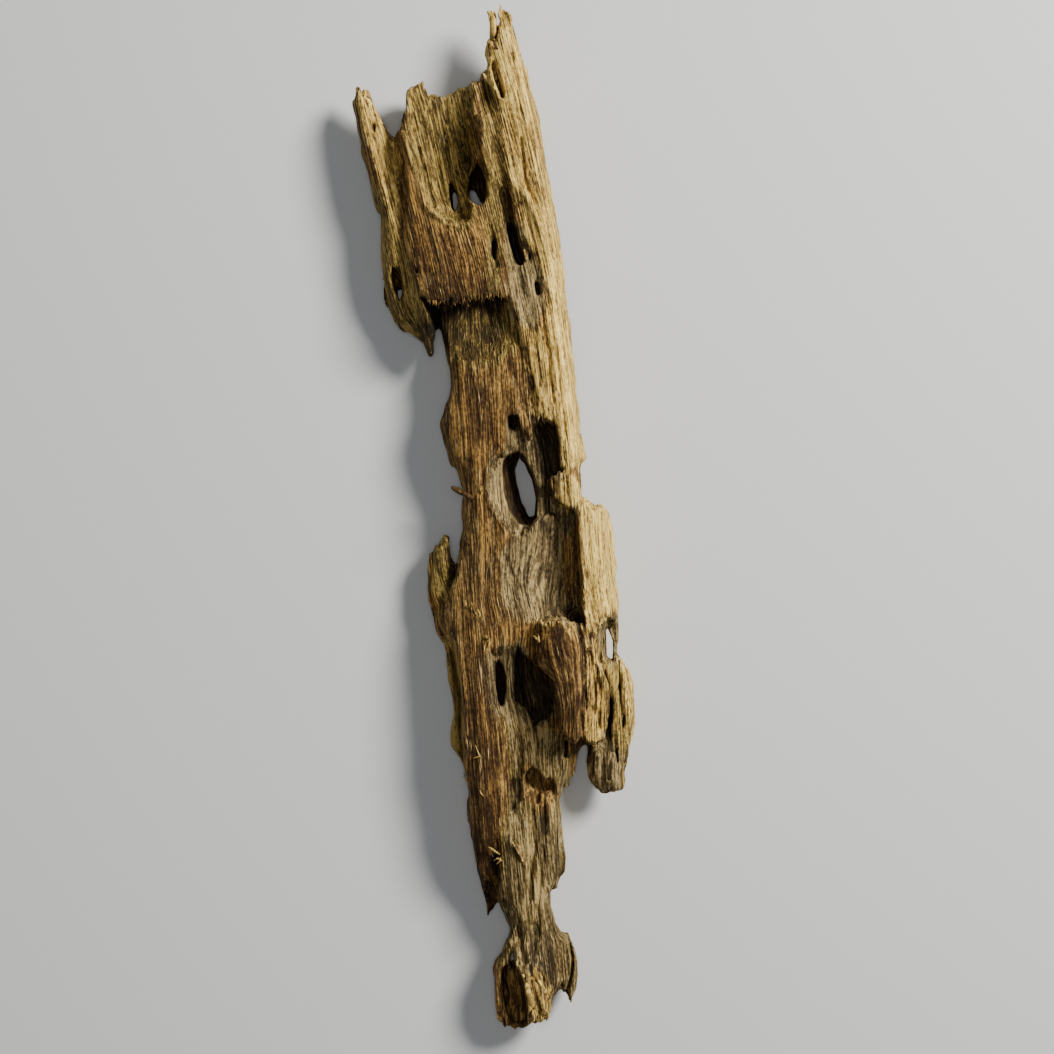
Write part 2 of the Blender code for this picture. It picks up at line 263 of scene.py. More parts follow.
LOWER_CREASES = (
    ((440, 610, 9), (452, 650, 10), (455, 690, 10), (457, 740, 10), (462, 790, 10), (470, 850, 9),
     (480, 905, 7), (484, 940, 6)),
    ((447, 610, 15), (460, 650, 17), (462, 690, 17.4), (464, 740, 17.6), (469, 790, 17.4), (476, 850, 15.6),
     (484, 905, 9), (488, 940, 7)),
    ((475, 610, 18.2), (480, 650, 18.6), (481, 690, 18.6), (485, 740, 18.8), (487, 790, 18.4),
     (488, 838, 16.4), (489, 862, 12), (491, 905, 7.6), (494, 940, 7)),
    ((515, 610, 18), (503, 650, 18), (503, 690, 17.6), (503, 740, 17.8), (502, 790, 17.4), (499, 830, 15.8),
     (497, 850, 12), (498, 905, 8), (503, 940, 8)),
    ((520, 610, 18), (509, 650, 16), (508, 690, 15.4), (508, 740, 15.0), (508, 790, 14.2), (507, 835, 15.4),
     (502, 850, 15.0), (502, 880, 13.8), (504, 905, 12.4), (508, 940, 9)),
    ((532, 610, 18), (524, 650, 18), (524, 700, 15.6), (521, 750, 14.2), (518, 790, 13.2), (516, 840, 15.8),
     (516, 870, 15.6), (518, 905, 14.2), (520, 940, 11.4)),
    ((556, 610, 18), (552, 650, 19), (552, 700, 17), (545, 750, 15.8), (541, 790, 14.4), (536, 850, 13.6),
     (532, 905, 12.6), (534, 940, 12)),
    ((575, 610, 18), (575, 650, 19), (575, 700, 17), (570, 745, 14), (558, 785, 13), (551, 830, 14.0),
     (553, 870, 12), (545, 905, 11.6), (556, 940, 9)),
    ((600, 610, 11), (600, 650, 12), (600, 700, 10), (586, 745, 8), (573, 780, 7), (566, 805, 7),
     (571, 865, 7), (558, 900, 7), (572, 940, 6)),
)
FOOT_CREASES = (
    ((505, 925, 8), (500, 945, 6), (488, 970, 6), (487, 1000, 5), (495, 1035, 4)),
    ((511, 925, 11), (506, 945, 12), (498, 970, 12), (497, 1000, 11.4), (504, 1035, 8)),
    ((520, 925, 13), (518, 945, 15), (522, 965, 16.4), (526, 1000, 15.4), (526, 1035, 11)),
    ((530, 925, 13), (532, 945, 14), (537, 965, 16), (542, 1000, 15), (544, 1035, 10)),
    ((542, 925, 11.6), (546, 945, 11.4), (549, 965, 11.6), (553, 1000, 10), (554, 1035, 7)),
    ((552, 925, 8.6), (558, 945, 9), (562, 965, 9.4), (562, 1000, 8), (562, 1035, 6)),
    ((560, 925, 7), (572, 945, 9), (574, 965, 10), (572, 1000, 9), (572, 1035, 6)),
    ((566, 925, 4), (580, 945, 4), (586, 965, 4), (582, 1000, 4), (580, 1035, 4)),
)


def creased(creases, across, down):
    """Heights of a sheet folded along creases.

    Each crease gives its place across and its height at every row by straight interpolation down the
    photograph. Between two neighbouring creases the height changes by an S curve mixed with a straight line.
    """
    folds = []
    for crease in creases:
        place, row, level = np.transpose(crease)
        folds.append((np.interp(down[0], row, place), np.interp(down[0], row, level)))
    height = folds[0][1]
    for (left, left_level), (right, right_level) in zip(folds[:-1], folds[1:]):
        share = np.clip((across - left) / np.maximum(right - left, 0.5), 0, 1)
        share = (share + ease(0, 1, share)) / 2
        height = np.where(across > left, mix(left_level, right_level, share), height)
    return height


def line_gap(line, across, down):
    """Distance in millimetres from each place to a line of points: the least over the line's parts."""
    nearest = np.full(across.shape, np.inf)
    for (ax, ay), (bx, by) in zip(line[:-1], line[1:]):
        side_x, side_y = bx - ax, by - ay
        share = np.clip(((across - ax) * side_x + (down - ay) * side_y) / (side_x**2 + side_y**2), 0, 1)
        nearest = np.minimum(nearest, np.hypot(across - ax - share * side_x, down - ay - share * side_y))
    return nearest * MM_PER_PIXEL


def gap_to(outline, across, down):
    """Distance in millimetres from each place to a closed outline, below 0 inside it.

    A place is inside where a line to its right crosses an odd number of the outline's sides.
    """
    closed = (*outline, outline[0])
    inside = np.zeros(across.shape, bool)
    for (ax, ay), (bx, by) in zip(closed[:-1], closed[1:]):
        if ay != by:
            crossing = (ay > down) != (by > down)
            inside ^= crossing & (across < ax + (down - ay) / (by - ay) * (bx - ax))
    distance = line_gap(closed, across, down)
    return np.where(inside, -distance, distance)


# Layers and lobes that stand on, or in place of, the creased sheet
LEFT_LOBE = (
    (340, 60), (372, 80), (394, 134), (399, 134), (402, 200), (407, 260), (416, 290), (424, 302), (431, 322),
    (437, 340), (434, 360), (420, 360), (380, 340), (360, 240),
)
UPPER_FRONT = (
    (396, 60), (484, 60), (488, 78), (498, 92), (530, 60), (590, 200), (590, 330), (530, 340), (520, 330),
    (513, 312), (507.5, 299), (494, 297), (485, 299.4), (473, 301.7), (462, 305), (450, 304), (443.5, 306),
    (424, 300.5), (416, 290), (407, 260), (402, 200), (399, 134),
)
FLOOR_BELOW_LEDGE = (
    (424, 296), (443, 300), (494, 292), (510, 292), (516, 320), (521, 340), (519, 352), (505, 362),
    (470, 366), (436, 366), (430, 330),
)
NOSE = (
    (515, 628), (527, 622), (538, 621), (556, 618.6), (564, 617.7), (571, 620.4), (576, 630), (580.8, 650),
    (581.8, 681), (579.8, 712), (578, 737), (572, 740), (565.5, 735), (559, 722), (556, 706), (555, 690),
    (552, 678), (542, 667), (530, 657), (520, 648), (508, 640),
)
FLUTED_LAYER = (
    (576, 624), (583, 626), (590, 634), (596, 652), (603, 668), (609, 689), (609, 712), (606, 738),
    (598.7, 741), (591, 744), (585, 738), (577, 738), (572, 700), (572, 650),
)
RIGHT_LOBE = (
    (596, 654), (606, 662), (617, 653), (629, 660), (645, 690), (648, 740), (630, 800), (590, 800),
    (586, 772), (590, 745), (600, 740), (606, 720), (606, 690),
)
RIGHT_BLOCK = (
    (577, 508), (579, 496), (596, 500), (612, 502), (620, 545), (628, 606), (622, 622), (604, 616),
    (596, 630), (594, 640), (586, 632), (582, 606), (583, 584), (580, 561), (578, 540),
)
FLAP = (
    (556, 475), (563, 472), (570, 478), (584, 478), (592, 512), (577, 512), (563, 508), (556, 498),
    (551, 484),
)
LEFT_FLAKE = (
    (420, 540), (440, 526), (448, 530), (452, 549), (456, 556), (458, 575), (452, 590), (446, 606),
    (436, 600), (420, 580),
)
BACK_FLAKE = (
    (436, 640), (450, 640), (457, 652), (460.5, 681), (463, 712), (462.5, 742), (466.5, 773), (468.5, 800),
    (455, 800), (440, 740),
)
BULGE = (
    (473, 124), (477, 118), (484, 116), (491, 121), (496, 140), (498, 170), (500, 200), (498, 216),
    (491, 216), (488, 205), (487, 190), (481, 166), (476, 148),
)
ABOVE_BULGE = ((474, 82), (493, 84), (498, 108), (494, 120), (485, 115), (476, 121))

# Hollows that open to the front
BOWL = (
    (407, 70), (478, 70), (476, 96), (474, 118), (473, 140), (477, 165), (474, 184), (474, 205), (473, 219),
    (467, 229), (458, 230), (448, 227), (436, 218), (425, 205), (418, 176), (411, 156), (404.5, 136),
    (405, 112),
)
TWIN_PIT = (
    (505.5, 424), (506, 417), (512, 414), (519, 415.5), (522, 424), (525, 432), (528.5, 435), (532, 428),
    (535, 421), (544, 418.5), (553, 419), (557.5, 424), (559.4, 436), (560.5, 450), (561.7, 464),
    (568, 474), (563, 472), (555, 474.6), (550, 482.7), (555, 497.6), (562.9, 508), (558, 518), (540, 520),
    (529, 527), (519, 525), (509, 512), (502, 494), (500.5, 466), (504, 455), (505, 446),
)
LIP = (
    (506, 432), (506, 447), (495, 457), (487, 469), (485, 486), (488, 503), (497, 520), (504, 531),
    (520, 545), (538, 530), (545, 500), (530, 460), (516, 440),
)
CHANNEL = (
    (500, 560), (516, 534), (538, 512), (560, 503), (577, 511), (578.5, 540), (580.5, 561), (583, 584),
    (582.5, 606), (585, 624), (580, 626), (571, 619), (556, 617), (538, 621), (515, 625), (500, 600),
)
CUPPED = (
    (485, 648), (492, 646), (505, 643), (519, 645), (541, 667), (553, 680), (556, 706), (548, 724),
    (530, 728), (510, 726), (497, 718), (489, 706), (486, 681),
)
EYE_SOCKET = (
    (518.6, 645.5), (521.6, 649.6), (530, 658), (542, 668), (552, 679), (554.3, 691), (553.3, 707),
    (543, 723), (535, 724), (525.7, 710), (515, 701.6), (513.6, 685), (514, 665),
)
SOCKET_SLOT = (
    (492, 661), (497, 660), (502, 664), (505, 676), (504.8, 700), (501.5, 706), (498, 694), (495, 676),
)
ARCHES = (
    (521, 784), (522, 774), (527, 767), (533, 765), (539, 769), (543, 776), (546, 778), (549, 776),
    (554, 780), (557, 788), (556, 800), (549, 808), (538, 810), (527, 804), (522, 796),
)
FOOT_BOWL = (
    (499, 968), (506, 962), (518, 964), (526, 976), (531, 1004), (532, 1022), (520, 1030), (508, 1024),
    (499, 1010), (496, 990),
)
BLOCK_BEVEL = (
    (606, 612), (614, 614), (626, 622), (626, 650), (614, 664), (606, 661), (599, 650), (595, 633),
)
GREY_HOLLOW = (
    (504, 226), (512, 218), (524, 232), (538, 250), (545, 280), (543, 310), (536, 330), (524, 336),
    (514, 318), (508, 290), (504, 255),
)

# Where the front has weathered to another colour
LEFT_SPIKE = (
    (352, 80), (362, 84), (375, 104), (388, 128), (398, 150), (401, 200), (396, 225), (386, 205),
    (372, 160), (362, 125), (355, 102),
)
PALE_ZONES = (
    LEFT_SPIKE,
    ((484, -10), (484, 58), (481, 74), (492, 92), (500, 104), (503, 150), (508, 180), (514, 200), (524, 232),
     (538, 258), (547, 300), (543, 326), (530, 337), (516, 320), (520, 339), (523, 361), (532.5, 381),
     (535, 393), (529, 402), (533, 428), (545, 418), (553, 419), (560, 436), (563, 470), (600, 470),
     (600, 300), (560, 140), (530, 20)),
    ((556, 474), (571, 474), (585, 492), (625, 495), (632, 615), (606, 612), (596, 634), (584, 628),
     (583, 600), (582, 540), (577, 511), (563, 508), (551, 485)),
    ((584, 634), (590, 640), (597, 660), (606, 690), (606, 738), (592, 745), (586, 735)),
    ((536, 618), (560, 615), (575, 618), (583, 634), (579, 636), (571, 623), (560, 620), (538, 623)),
    ((616, 655), (630, 662), (650, 690), (640, 780), (626, 780), (632, 720), (624, 680)),
    ((527.6, 970), (536, 968), (550.6, 985), (552, 1022), (530, 1028), (529, 1000)),
)
GREY_ZONES = (
    GREY_HOLLOW, TWIN_PIT, LIP, CHANNEL, CUPPED, BLOCK_BEVEL,
    ((516, 120), (526, 100), (532, 110), (545, 180), (548, 210), (536, 212), (526, 180)),
    ((521, 338), (534, 338), (545, 380), (547, 415), (535, 424), (534, 395), (524, 362)),
    ((586, 640), (597, 660), (606, 695), (604, 738), (592, 742), (584, 700)),
    ((592, 744), (606, 738), (624, 752), (624, 796), (590, 796)),
    ((502, 40), (508, 44), (520, 80), (529, 106), (522, 112), (510, 84), (503, 64)),
)

# The stem, part grey and part olive
STEM_ZONES = (
    ((500, 718), (506, 740), (509, 760), (509, 790), (503, 840), (500, 880), (505, 930), (512, 960),
     (534, 1010), (570, 1010), (590, 960), (562, 900), (575, 800), (566, 740), (545, 724)),
    ((499, 955), (507, 940), (512, 948), (503, 970), (498, 985)),
)

# Places in the grey and olive zones and on the stem that have stayed brown
BROWN_ZONES = (
    ARCHES, FOOT_BOWL,
    ((563, 536), (577, 530), (580, 575), (579, 600), (566, 604)),
)

# Where shade is painted onto the front: under the ledge, in the pits, round the big hole and on faces turned
# from the light
PAINTED_SHADE_ZONES = (
    ((424, 298), (443, 304), (462, 303), (494, 295), (507, 297), (512, 306), (508, 315), (470, 312),
     (436, 320)),
    ((418, 322), (426, 318), (436, 322), (437, 345), (432, 358), (420, 344)),
    ((519, 451), (504, 454), (500.6, 464), (501.6, 492), (509, 513), (519, 526), (530, 527), (537, 520),
     (534, 478), (527, 464)),
    ((506, 414), (520, 414), (521, 424), (508, 426)),
    ((536, 418), (556, 420), (561, 452), (562, 472), (556, 470), (551, 440), (538, 430)),
    ((352, 96), (356, 96), (368, 140), (379, 185), (374, 190), (360, 140)),
    ((487, 852), (493, 852), (499, 862), (500, 880), (499, 912), (484, 925), (483, 885)),
    ((464, 800), (470, 806), (478, 850), (484, 890), (486, 925), (480, 925), (472, 860)),
    ((588, 743), (596, 745), (597, 784), (590, 780)),
    ((441, 548), (451, 551), (461, 566), (460, 574), (446, 564)),
    ((449, 648), (455, 652), (461, 690), (463, 740), (466, 790), (461, 790), (452, 700)),
    ((553, 884), (566, 884), (566, 845), (557, 846)),
    ((494, 661), (505, 661), (507, 700), (499, 706)),
    ((570, 617), (584, 617), (585, 631), (576, 631)),
)

# Where it has an olive tinge
OLIVE_ZONES = (
    BOWL, BACK_FLAKE, LEFT_FLAKE, FLOOR_BELOW_LEDGE, RIGHT_LOBE,
    ((362, 175), (384, 200), (398, 215), (407, 260), (424, 302), (437, 340), (430, 365), (380, 340),
     (366, 240)),
    ((484, 60), (496, 60), (499, 130), (504, 180), (500, 300), (488, 300), (486, 200)),
    ((424, 335), (500, 335), (505, 360), (470, 366), (430, 360)),
)

# Where the front is lighter or darker than the rest, as (outline, change of tone): the wood's own tone, and
# painted shade, shadow and highlight where marked
TONE_AND_PAINTED_LIGHT_ZONES = (
    (LEFT_SPIKE, -0.02),
    (((424, 332), (500, 332), (508, 354), (470, 360), (430, 356)), -0.32),
    # Painted shadow of the ledge at its left end
    (((424, 300), (460, 303), (460, 325), (428, 330)), -0.20),
    # Painted highlight along the bowl's lit left rim
    (((401, 133), (406, 134), (414, 157), (421, 180), (428, 205), (439, 218), (451, 227), (470, 226),
      (470, 232), (458, 236), (446, 232), (433, 222), (421, 207), (413, 180), (406, 157)), 0.20),
    # Painted shade left of the finger, on its side turned from the light
    (((462, 108), (474, 106), (473, 140), (478, 165), (473, 186), (466, 190), (461, 160), (459, 128)),
     -0.16),
    (BACK_FLAKE, 0.36),
    (((508, 186), (518, 190), (529, 204), (541, 227), (546, 262), (530, 256), (518, 226)), -0.14),
    (((424, 284), (508, 282), (508, 300), (424, 304)), -0.14),
    (((446, 347), (500, 342), (500, 348), (464, 354), (446, 355)), 0.18),
    (LEFT_FLAKE, 0.02),
    (RIGHT_LOBE, 0.11),
    # Painted shade in the foot's bowl and in the eye socket
    (FOOT_BOWL, -0.14),
    (EYE_SOCKET, -0.30),
    (BOWL, 0.03),
    # Painted shadow under the ledge
    (((424, 300), (500, 296), (512, 330), (506, 334), (430, 334)), -0.28),
    (((448, 360), (520, 360), (530, 400), (505, 425), (500, 455), (445, 430)), -0.14),
    (((466, 640), (490, 650), (500, 730), (504, 800), (500, 845), (490, 900), (478, 880), (466, 790)),
     -0.30),
    # Painted shade on the lower spike's facet turned from the light
    (((478, 850), (500, 850), (500, 912), (484, 928)), -0.12),
    (((545, 618), (576, 622), (581, 650), (581, 700), (576, 738), (560, 725), (550, 670), (530, 645)),
     -0.16),
    (((583, 634), (596, 652), (609, 689), (606, 738), (590, 742), (580, 700)), -0.15),
    (((544, 232), (558, 232), (574, 330), (580, 430), (584, 462), (566, 462), (556, 400), (548, 300)), 0.14),
    (((520, 330), (540, 335), (548, 400), (552, 418), (534, 424), (524, 365)), -0.12),
    (((577, 505), (612, 505), (622, 610), (604, 622), (584, 610)), 0.08),
    (((529, 440), (552, 440), (558, 478), (551, 500), (541, 515), (534, 482)), -0.32),
    (((506, 215), (518, 215), (530, 262), (537, 292), (527, 300), (514, 268)), -0.18),
    # Painted shade that softens the edge of the channel's shadow
    (((538, 522), (556, 520), (558, 612), (540, 606)), -0.20),
    (((494, 705), (512, 712), (530, 722), (548, 724), (548, 738), (520, 740), (500, 726)), 0.14),
    (((528, 845), (537, 850), (541, 900), (534, 936), (525, 930)), 0.16),
    (((507, 782), (521, 782), (521, 812), (509, 812)), -0.20),
    (((534, 812), (548, 806), (550, 834), (538, 840)), -0.16),
    (((499, 850), (512, 850), (516, 905), (508, 915), (501, 900)), -0.16),
    (((521, 765), (557, 775), (557, 806), (538, 810), (522, 798)), 0.10),
    (((504, 230), (524, 236), (545, 280), (540, 330), (520, 330), (506, 290)), 0.21),
    (((550, 525), (577, 515), (583, 600), (580, 615), (556, 612)), 0.06),
    (((526, 930), (552, 930), (558, 1000), (530, 1022)), -0.36),
    (((424, 230), (496, 236), (500, 296), (426, 300), (410, 240)), -0.17),
    (((385, 215), (402, 215), (410, 262), (418, 300), (392, 300), (380, 250)), 0.10),
    (((416, 322), (437, 322), (437, 345), (432, 360), (418, 345)), -0.20),
    (((505, 60), (530, 60), (548, 160), (552, 215), (528, 200), (512, 150)), -0.05),
)

# Holes that go right through, as (outline from 9 mm up, outline up to 2 mm), blended in between
HOLES = (
    (
        ((449, 181), (453, 184), (457, 192), (459.4, 203), (457, 211), (454.4, 214.5), (451, 208),
         (448.6, 196)),
        ((452, 190), (457, 190), (461, 203), (459, 213), (455, 214), (453, 204)),
    ),
    (
        ((477, 163), (482, 170), (486.5, 182), (487.6, 198), (485, 205), (479, 208.5), (471, 204),
         (467.6, 194), (470, 178)),
        ((466, 188), (470, 189), (473, 199), (480, 205), (488, 200), (490, 207), (480, 213), (469, 208)),
    ),
    (
        ((391, 266), (398, 269), (402.5, 280), (403, 294), (399.6, 302), (394, 292), (390.6, 280)),
        ((397.5, 289), (401, 288), (403, 293), (401, 300), (398.5, 297)),
    ),
    (
        ((517, 451), (524, 456), (530, 466), (536, 482), (538, 498), (536, 518), (529, 526), (519, 524),
         (509, 511), (503, 492), (502, 466), (506, 456)),
        ((519, 455), (526, 465), (533, 480), (536.4, 498), (535.3, 517), (529.5, 517), (520.4, 500),
         (515.8, 483), (513.5, 467)),
    ),
    (
        ((608, 626.5), (613, 641), (614.2, 660), (611, 662), (605, 654), (601.5, 642)),
        ((608, 626.5), (613.2, 641), (614.4, 661), (610, 662), (604, 653), (601.5, 641)),
    ),
    (
        ((512, 948), (515.4, 956), (515, 968), (511, 970), (508.4, 962)),
        ((512, 949), (515, 956), (514.6, 968), (511, 969), (508.8, 962)),
    ),
)

# Slits and narrow pits as (points along a line of (across, down), half width in mm, depth in mm)
SLITS = (
    (((494, 243), (495, 258)), 0.55, 7),
    (((488, 229), (495, 267)), 1.1, 1.4),
    (((503, 195), (509, 222), (514, 245)), 1.1, 3),
    (((511, 230), (515, 245), (520, 261)), 1.3, 10),
    (((529.4, 254), (529.6, 261)), 0.4, 4),
    (((536, 285), (538, 294)), 0.75, 5),
    (((598, 657), (605, 676), (610.5, 698)), 0.5, 2.4),
    (((521, 140), (522.5, 151), (525, 180), (533, 206), (541, 224)), 0.35, 0.9),
    (((373.6, 125), (375, 131)), 0.5, 3),
    (((416.5, 272), (416.8, 272.6)), 0.45, 3),
    (((611, 699), (610, 738)), 0.55, 6),
    (((616.5, 750), (616.8, 762)), 0.45, 4),
    (((623, 717), (623, 728)), 0.4, 3),
    (((619, 686), (619, 688)), 0.45, 3),
    (((566, 741), (565.5, 757)), 0.55, 5),
    (((538, 792), (538, 802)), 0.6, 2.4),
    (((512, 782), (513, 808)), 0.9, 2.2),
    (((568, 937), (572, 958), (571, 975), (567, 998)), 0.6, 3),
    (((579, 636), (582.6, 660), (583, 690), (580, 728)), 0.5, 0.8),
    (((588, 650), (592, 672), (594, 690), (593, 712)), 0.6, 1.5),
    (((586, 690), (587, 715), (585, 735)), 0.45, 1.2),
    (((626, 690), (629, 712), (628, 740)), 0.5, 1.4),
    (((613, 752), (609, 778)), 0.5, 1.4),
    (((604, 745), (603, 785)), 0.5, 1.2),
    (((619, 672), (621, 700), (618, 730)), 0.5, 1.4),
    (((596, 665), (600, 690), (600, 728)), 0.6, 0.9),
    (((470, 128), (472, 148), (474, 164)), 1.9, 1.8),
    (((599, 512), (603, 560), (607, 605)), 0.5, 0.5),
    (((498, 18), (498, 30), (495, 44)), 0.45, 5),
    (((494, 66), (497, 82), (502, 99)), 0.7, 4.2),
    (((515, 700), (519, 745), (519, 800)), 0.8, 1.0),
    (((531, 806), (533, 850), (529, 900)), 0.8, 1.1),
    (((545, 806), (543, 850), (538, 905), (538, 940)), 0.6, 1.0),
    (((519, 925), (520, 942), (525, 962)), 0.7, 2.0),
    (((534, 925), (533, 950), (539, 968)), 0.8, 1.4),
    (((541, 972), (546, 1000), (548, 1016)), 0.45, 1.6),
    (((534, 978), (539, 1004), (540, 1018)), 0.45, 1.4),
    (((549, 300), (556, 350), (561, 400), (566, 440)), 0.35, 0.8),
    (((541, 310), (549, 360), (553, 405)), 0.35, 0.9),
    (((557, 270), (563, 330)), 0.3, 0.6),
    (((509, 40), (516, 80), (521, 120)), 0.35, 0.7),
    (((517, 60), (527, 105), (532, 150)), 0.3, 0.6),
    (((585, 515), (590, 560), (592, 610)), 0.35, 0.6),
)

# Raised ribs of the front as (points along a line of (across, down), half width in mm, height in mm)
RIBS = (
    (((403, 137), (411, 158), (418, 178), (425, 205), (437, 218), (449, 227), (460, 231), (471, 226)),
     0.6, 1.0),
    (((409, 90), (413, 110), (423, 150), (434, 190)), 1.1, 0.9),
    (((491, 60), (491.5, 78), (497, 98)), 0.7, 1.6),
    (((509, 180), (518, 190), (529, 204), (541, 227)), 0.8, 0.9),
    (((398, 140), (405, 200), (411, 255), (420, 296)), 0.8, 0.8),
    (((388, 215), (392, 240), (396, 262)), 0.7, 0.6),
    (((521, 345), (526, 365), (535, 385), (537, 398)), 0.6, 0.5),
    (((504, 448), (494, 458), (487, 470), (485.5, 486), (488, 503), (497, 520), (504, 530)), 0.5, 0.8),
    (((578.5, 512), (580, 545), (583, 584), (583, 606)), 0.6, 0.7),
    (((540, 622), (556, 620), (566, 619), (572, 624)), 0.6, 0.8),
    (((509.4, 837), (517, 850), (524.7, 863)), 0.45, 0.9),
    (((524, 815), (528, 850), (524, 890), (520, 925)), 0.8, 0.8),
    (((549, 800), (540, 850), (533, 900), (529, 935)), 0.7, 0.7),
    (((515, 930), (509, 944), (501, 960), (497, 985), (499, 1010)), 0.8, 1.2),
    (((514, 962), (521, 975), (527, 996), (530, 1018)), 0.8, 1.4),
    (((562, 932), (571, 955), (573, 985)), 0.8, 0.9),
    (((604, 668), (614, 700), (616, 745), (610, 785)), 1.3, 1.0),
    (((620, 664), (628, 700), (626, 740)), 0.9, 0.8),
    (((490, 538), (503, 570), (520, 602), (541, 626)), 0.45, 0.6),
    (((500, 536), (511, 562), (527, 594), (546, 620)), 0.5, 0.7),
    (((486, 560), (499, 590), (512, 618)), 0.4, 0.5),
    (((508, 545), (519, 566), (534, 590)), 0.4, 0.5),
    (((480, 572), (488, 598), (500, 626)), 0.35, 0.4),
)

# Caves under the front as (across, down, height, half sizes across, along and up in mm)
CAVES = (
    (468, 300, 14.6, 11, 2.8, 2.0),
    (514, 402, 12.2, 2.1, 7, 2.2),
    (547, 407, 11.6, 2.9, 8, 3.2),
    (536, 690, 8.5, 6.2, 12.5, 6),
    (501, 684, 10.5, 2.0, 6.8, 5),
    (541, 780, 11, 3.0, 3.6, 2.6),
    (574, 620, 13.4, 2.4, 4.6, 3.4),
    (566, 744, 17.4, 1.4, 4.2, 2.4),
    (596, 738, 12.4, 4.2, 4, 2),
    (452, 560, 7.4, 2.2, 5, 2),
    (458, 716, 11.2, 2.4, 21, 1.3),
    (512, 996, 9.5, 2.8, 6, 2.6),
    (545, 320, 3, 4.5, 20, 3.6),
    (470, 190, 1.6, 6, 26, 3.2),
    (500, 600, 1.2, 5, 22, 2.8),
    (560, 250, 8.5, 3, 30, 1.4),
    (612, 562, 8.0, 3, 13, 0.9),
    (440, 470, 7.5, 3, 15, 0.9),
    (564, 850, 5.6, 2.6, 9, 0.8),
    (628, 705, 5.4, 3, 10, 0.9),
    (470, 830, 6.0, 2.4, 12, 0.8),
)


# Slope of the grain, in pixels across for each pixel down, at rows of the photograph
SLOPE_ROWS = (0, 250, 330, 420, 560, 640, 760, 900, 1050)
SLOPES = (0.25, 0.24, 0.14, 0.07, 0.06, 0.10, 0.06, 0.12, 0.05)

# Places that the grain runs round, as (across, down, reach across, reach down, push), all in pixels
PUSHED_ASIDE = (
    (562, 645, 45, 60, 22), (525, 480, 32, 60, 9), (478, 195, 26, 50, 6), (535, 690, 26, 50, 10),
    (530, 985, 40, 40, 6), (470, 605, 30, 40, -7),
)

# Places where the grain bends in an arc, in the same form
PUSHED_DOWN = ((520, 604, 30, 38, 13), (548, 690, 26, 45, 5))


def grain_lean(down):
    """How far across, in pixels, the grain has wandered by each row: the sum of its slope down the photo."""
    rows = np.arange(-20, 1080, 1.0)
    slope = np.interp(rows, SLOPE_ROWS, SLOPES)
    return np.interp(down, rows, np.cumsum(slope) - slope.sum() / 2)


def grain_across(across, down):
    """Place across the grain in mm: place across less the lean and the pushes round bulges and pits.

    Each push is its amount times the way from its middle, across or down in reaches, times a bell curve.
    """
    push = 0
    for places, axis in ((PUSHED_ASIDE, 0), (PUSHED_DOWN, 1)):
        for mid_x, mid_y, reach_x, reach_y, amount in places:
            way = ((across - mid_x) / reach_x, (down - mid_y) / reach_y)
            push = push + amount * way[axis] * np.exp(-way[0] ** 2 - way[1] ** 2)
    return (across - grain_lean(down) - push) * MM_PER_PIXEL


def cut_floor(height, gap, floor, width):
    """Lowers the heights inside an outline to a floor, over a wall of that width."""
    return np.where(gap < 0, np.minimum(height, mix(height, floor, ease(0, width, -gap))), height)


def laid_on(height, top, gap, edge=0.5):
    """Heights with a layer's top in their place inside an outline, over an edge that wide each way."""
    return mix(height, top, ease(edge, -edge, gap))


def folded_sheet(across, down, gap):
    """Front heights as the creases fold them, with the floor below the ledge and the left lobe.

    S curves of the row fade the middle sheet into the lower one, and that into the foot. The upper sheet
    stands inside its own outline and fades out along the ridge. Below its ledge the heights are held under
    a floor that follows the row and rises to the right. The left lobe is the upper sheet, which an S curve
    of the row lowers at its tip.
    """
    upper = creased(UPPER_CREASES, across, down)
    middle = creased(MIDDLE_CREASES, across, down)
    lower = creased(LOWER_CREASES, across, down)
    foot = creased(FOOT_CREASES, across, down)
    front = mix(middle, lower, ease(606, 660, down))
    front = mix(front, foot, ease(922, 946, down))
    ledge = ease(0.5, -0.5, gap(UPPER_FRONT))
    ridge_fade = ease(295, 335, down) * ease(500, 520, across)
    front = mix(front, upper, np.maximum(ledge * (1 - ridge_fade), down < UPPER_ROWS))
    drop = np.interp(down, (298, 318, 340, 364), (11.6, 11.6, 12.6, 16.6)) + 0.02 * (across - 470)
    drop = drop + 0.10 * np.clip(across - 490, 0, 40)
    on_floor = ease(0.6, -0.6, gap(FLOOR_BELOW_LEDGE)) * (1 - ledge)
    front = mix(front, np.minimum(front, drop), on_floor)
    return laid_on(front, upper - 4.5 * ease(316, 356, down), gap(LEFT_LOBE))


def scoop_bowl(front, across, down, gap):
    """Cuts the wide bowl and raises the bulge at its right.

    The bowl's floor follows the row, rises to both sides and has smooth noise on it. The bulge is a parabola
    across, round a leaning middle line, less an S curve of the row at either end.
    """
    bowl_gap = gap(BOWL)
    floor = np.interp(down, (80, 120, 170, 210, 232), (13.4, 11.8, 11.2, 12.6, 15.6))
    front = cut_floor(front, bowl_gap, floor + 0.035 * np.abs(across - 446), 2.4)
    front = front + 0.5 * ease(0.3, 1.5, -bowl_gap) * noise(across / 4.5, down / 8.0, 0.0, 10)
    front = front - 0.9 * ease(0.5, -1.2, gap(ABOVE_BULGE))
    side = (across - np.interp(down, (118, 215), (483, 493))) / 11
    bulge = 21.6 - 4.0 * np.clip(side, -1.4, 1.0) ** 2
    bulge = bulge - 0.9 * ease(128, 116, down) - 2.6 * ease(165, 214, down)
    return laid_on(front, np.maximum(front, bulge), gap(BULGE))


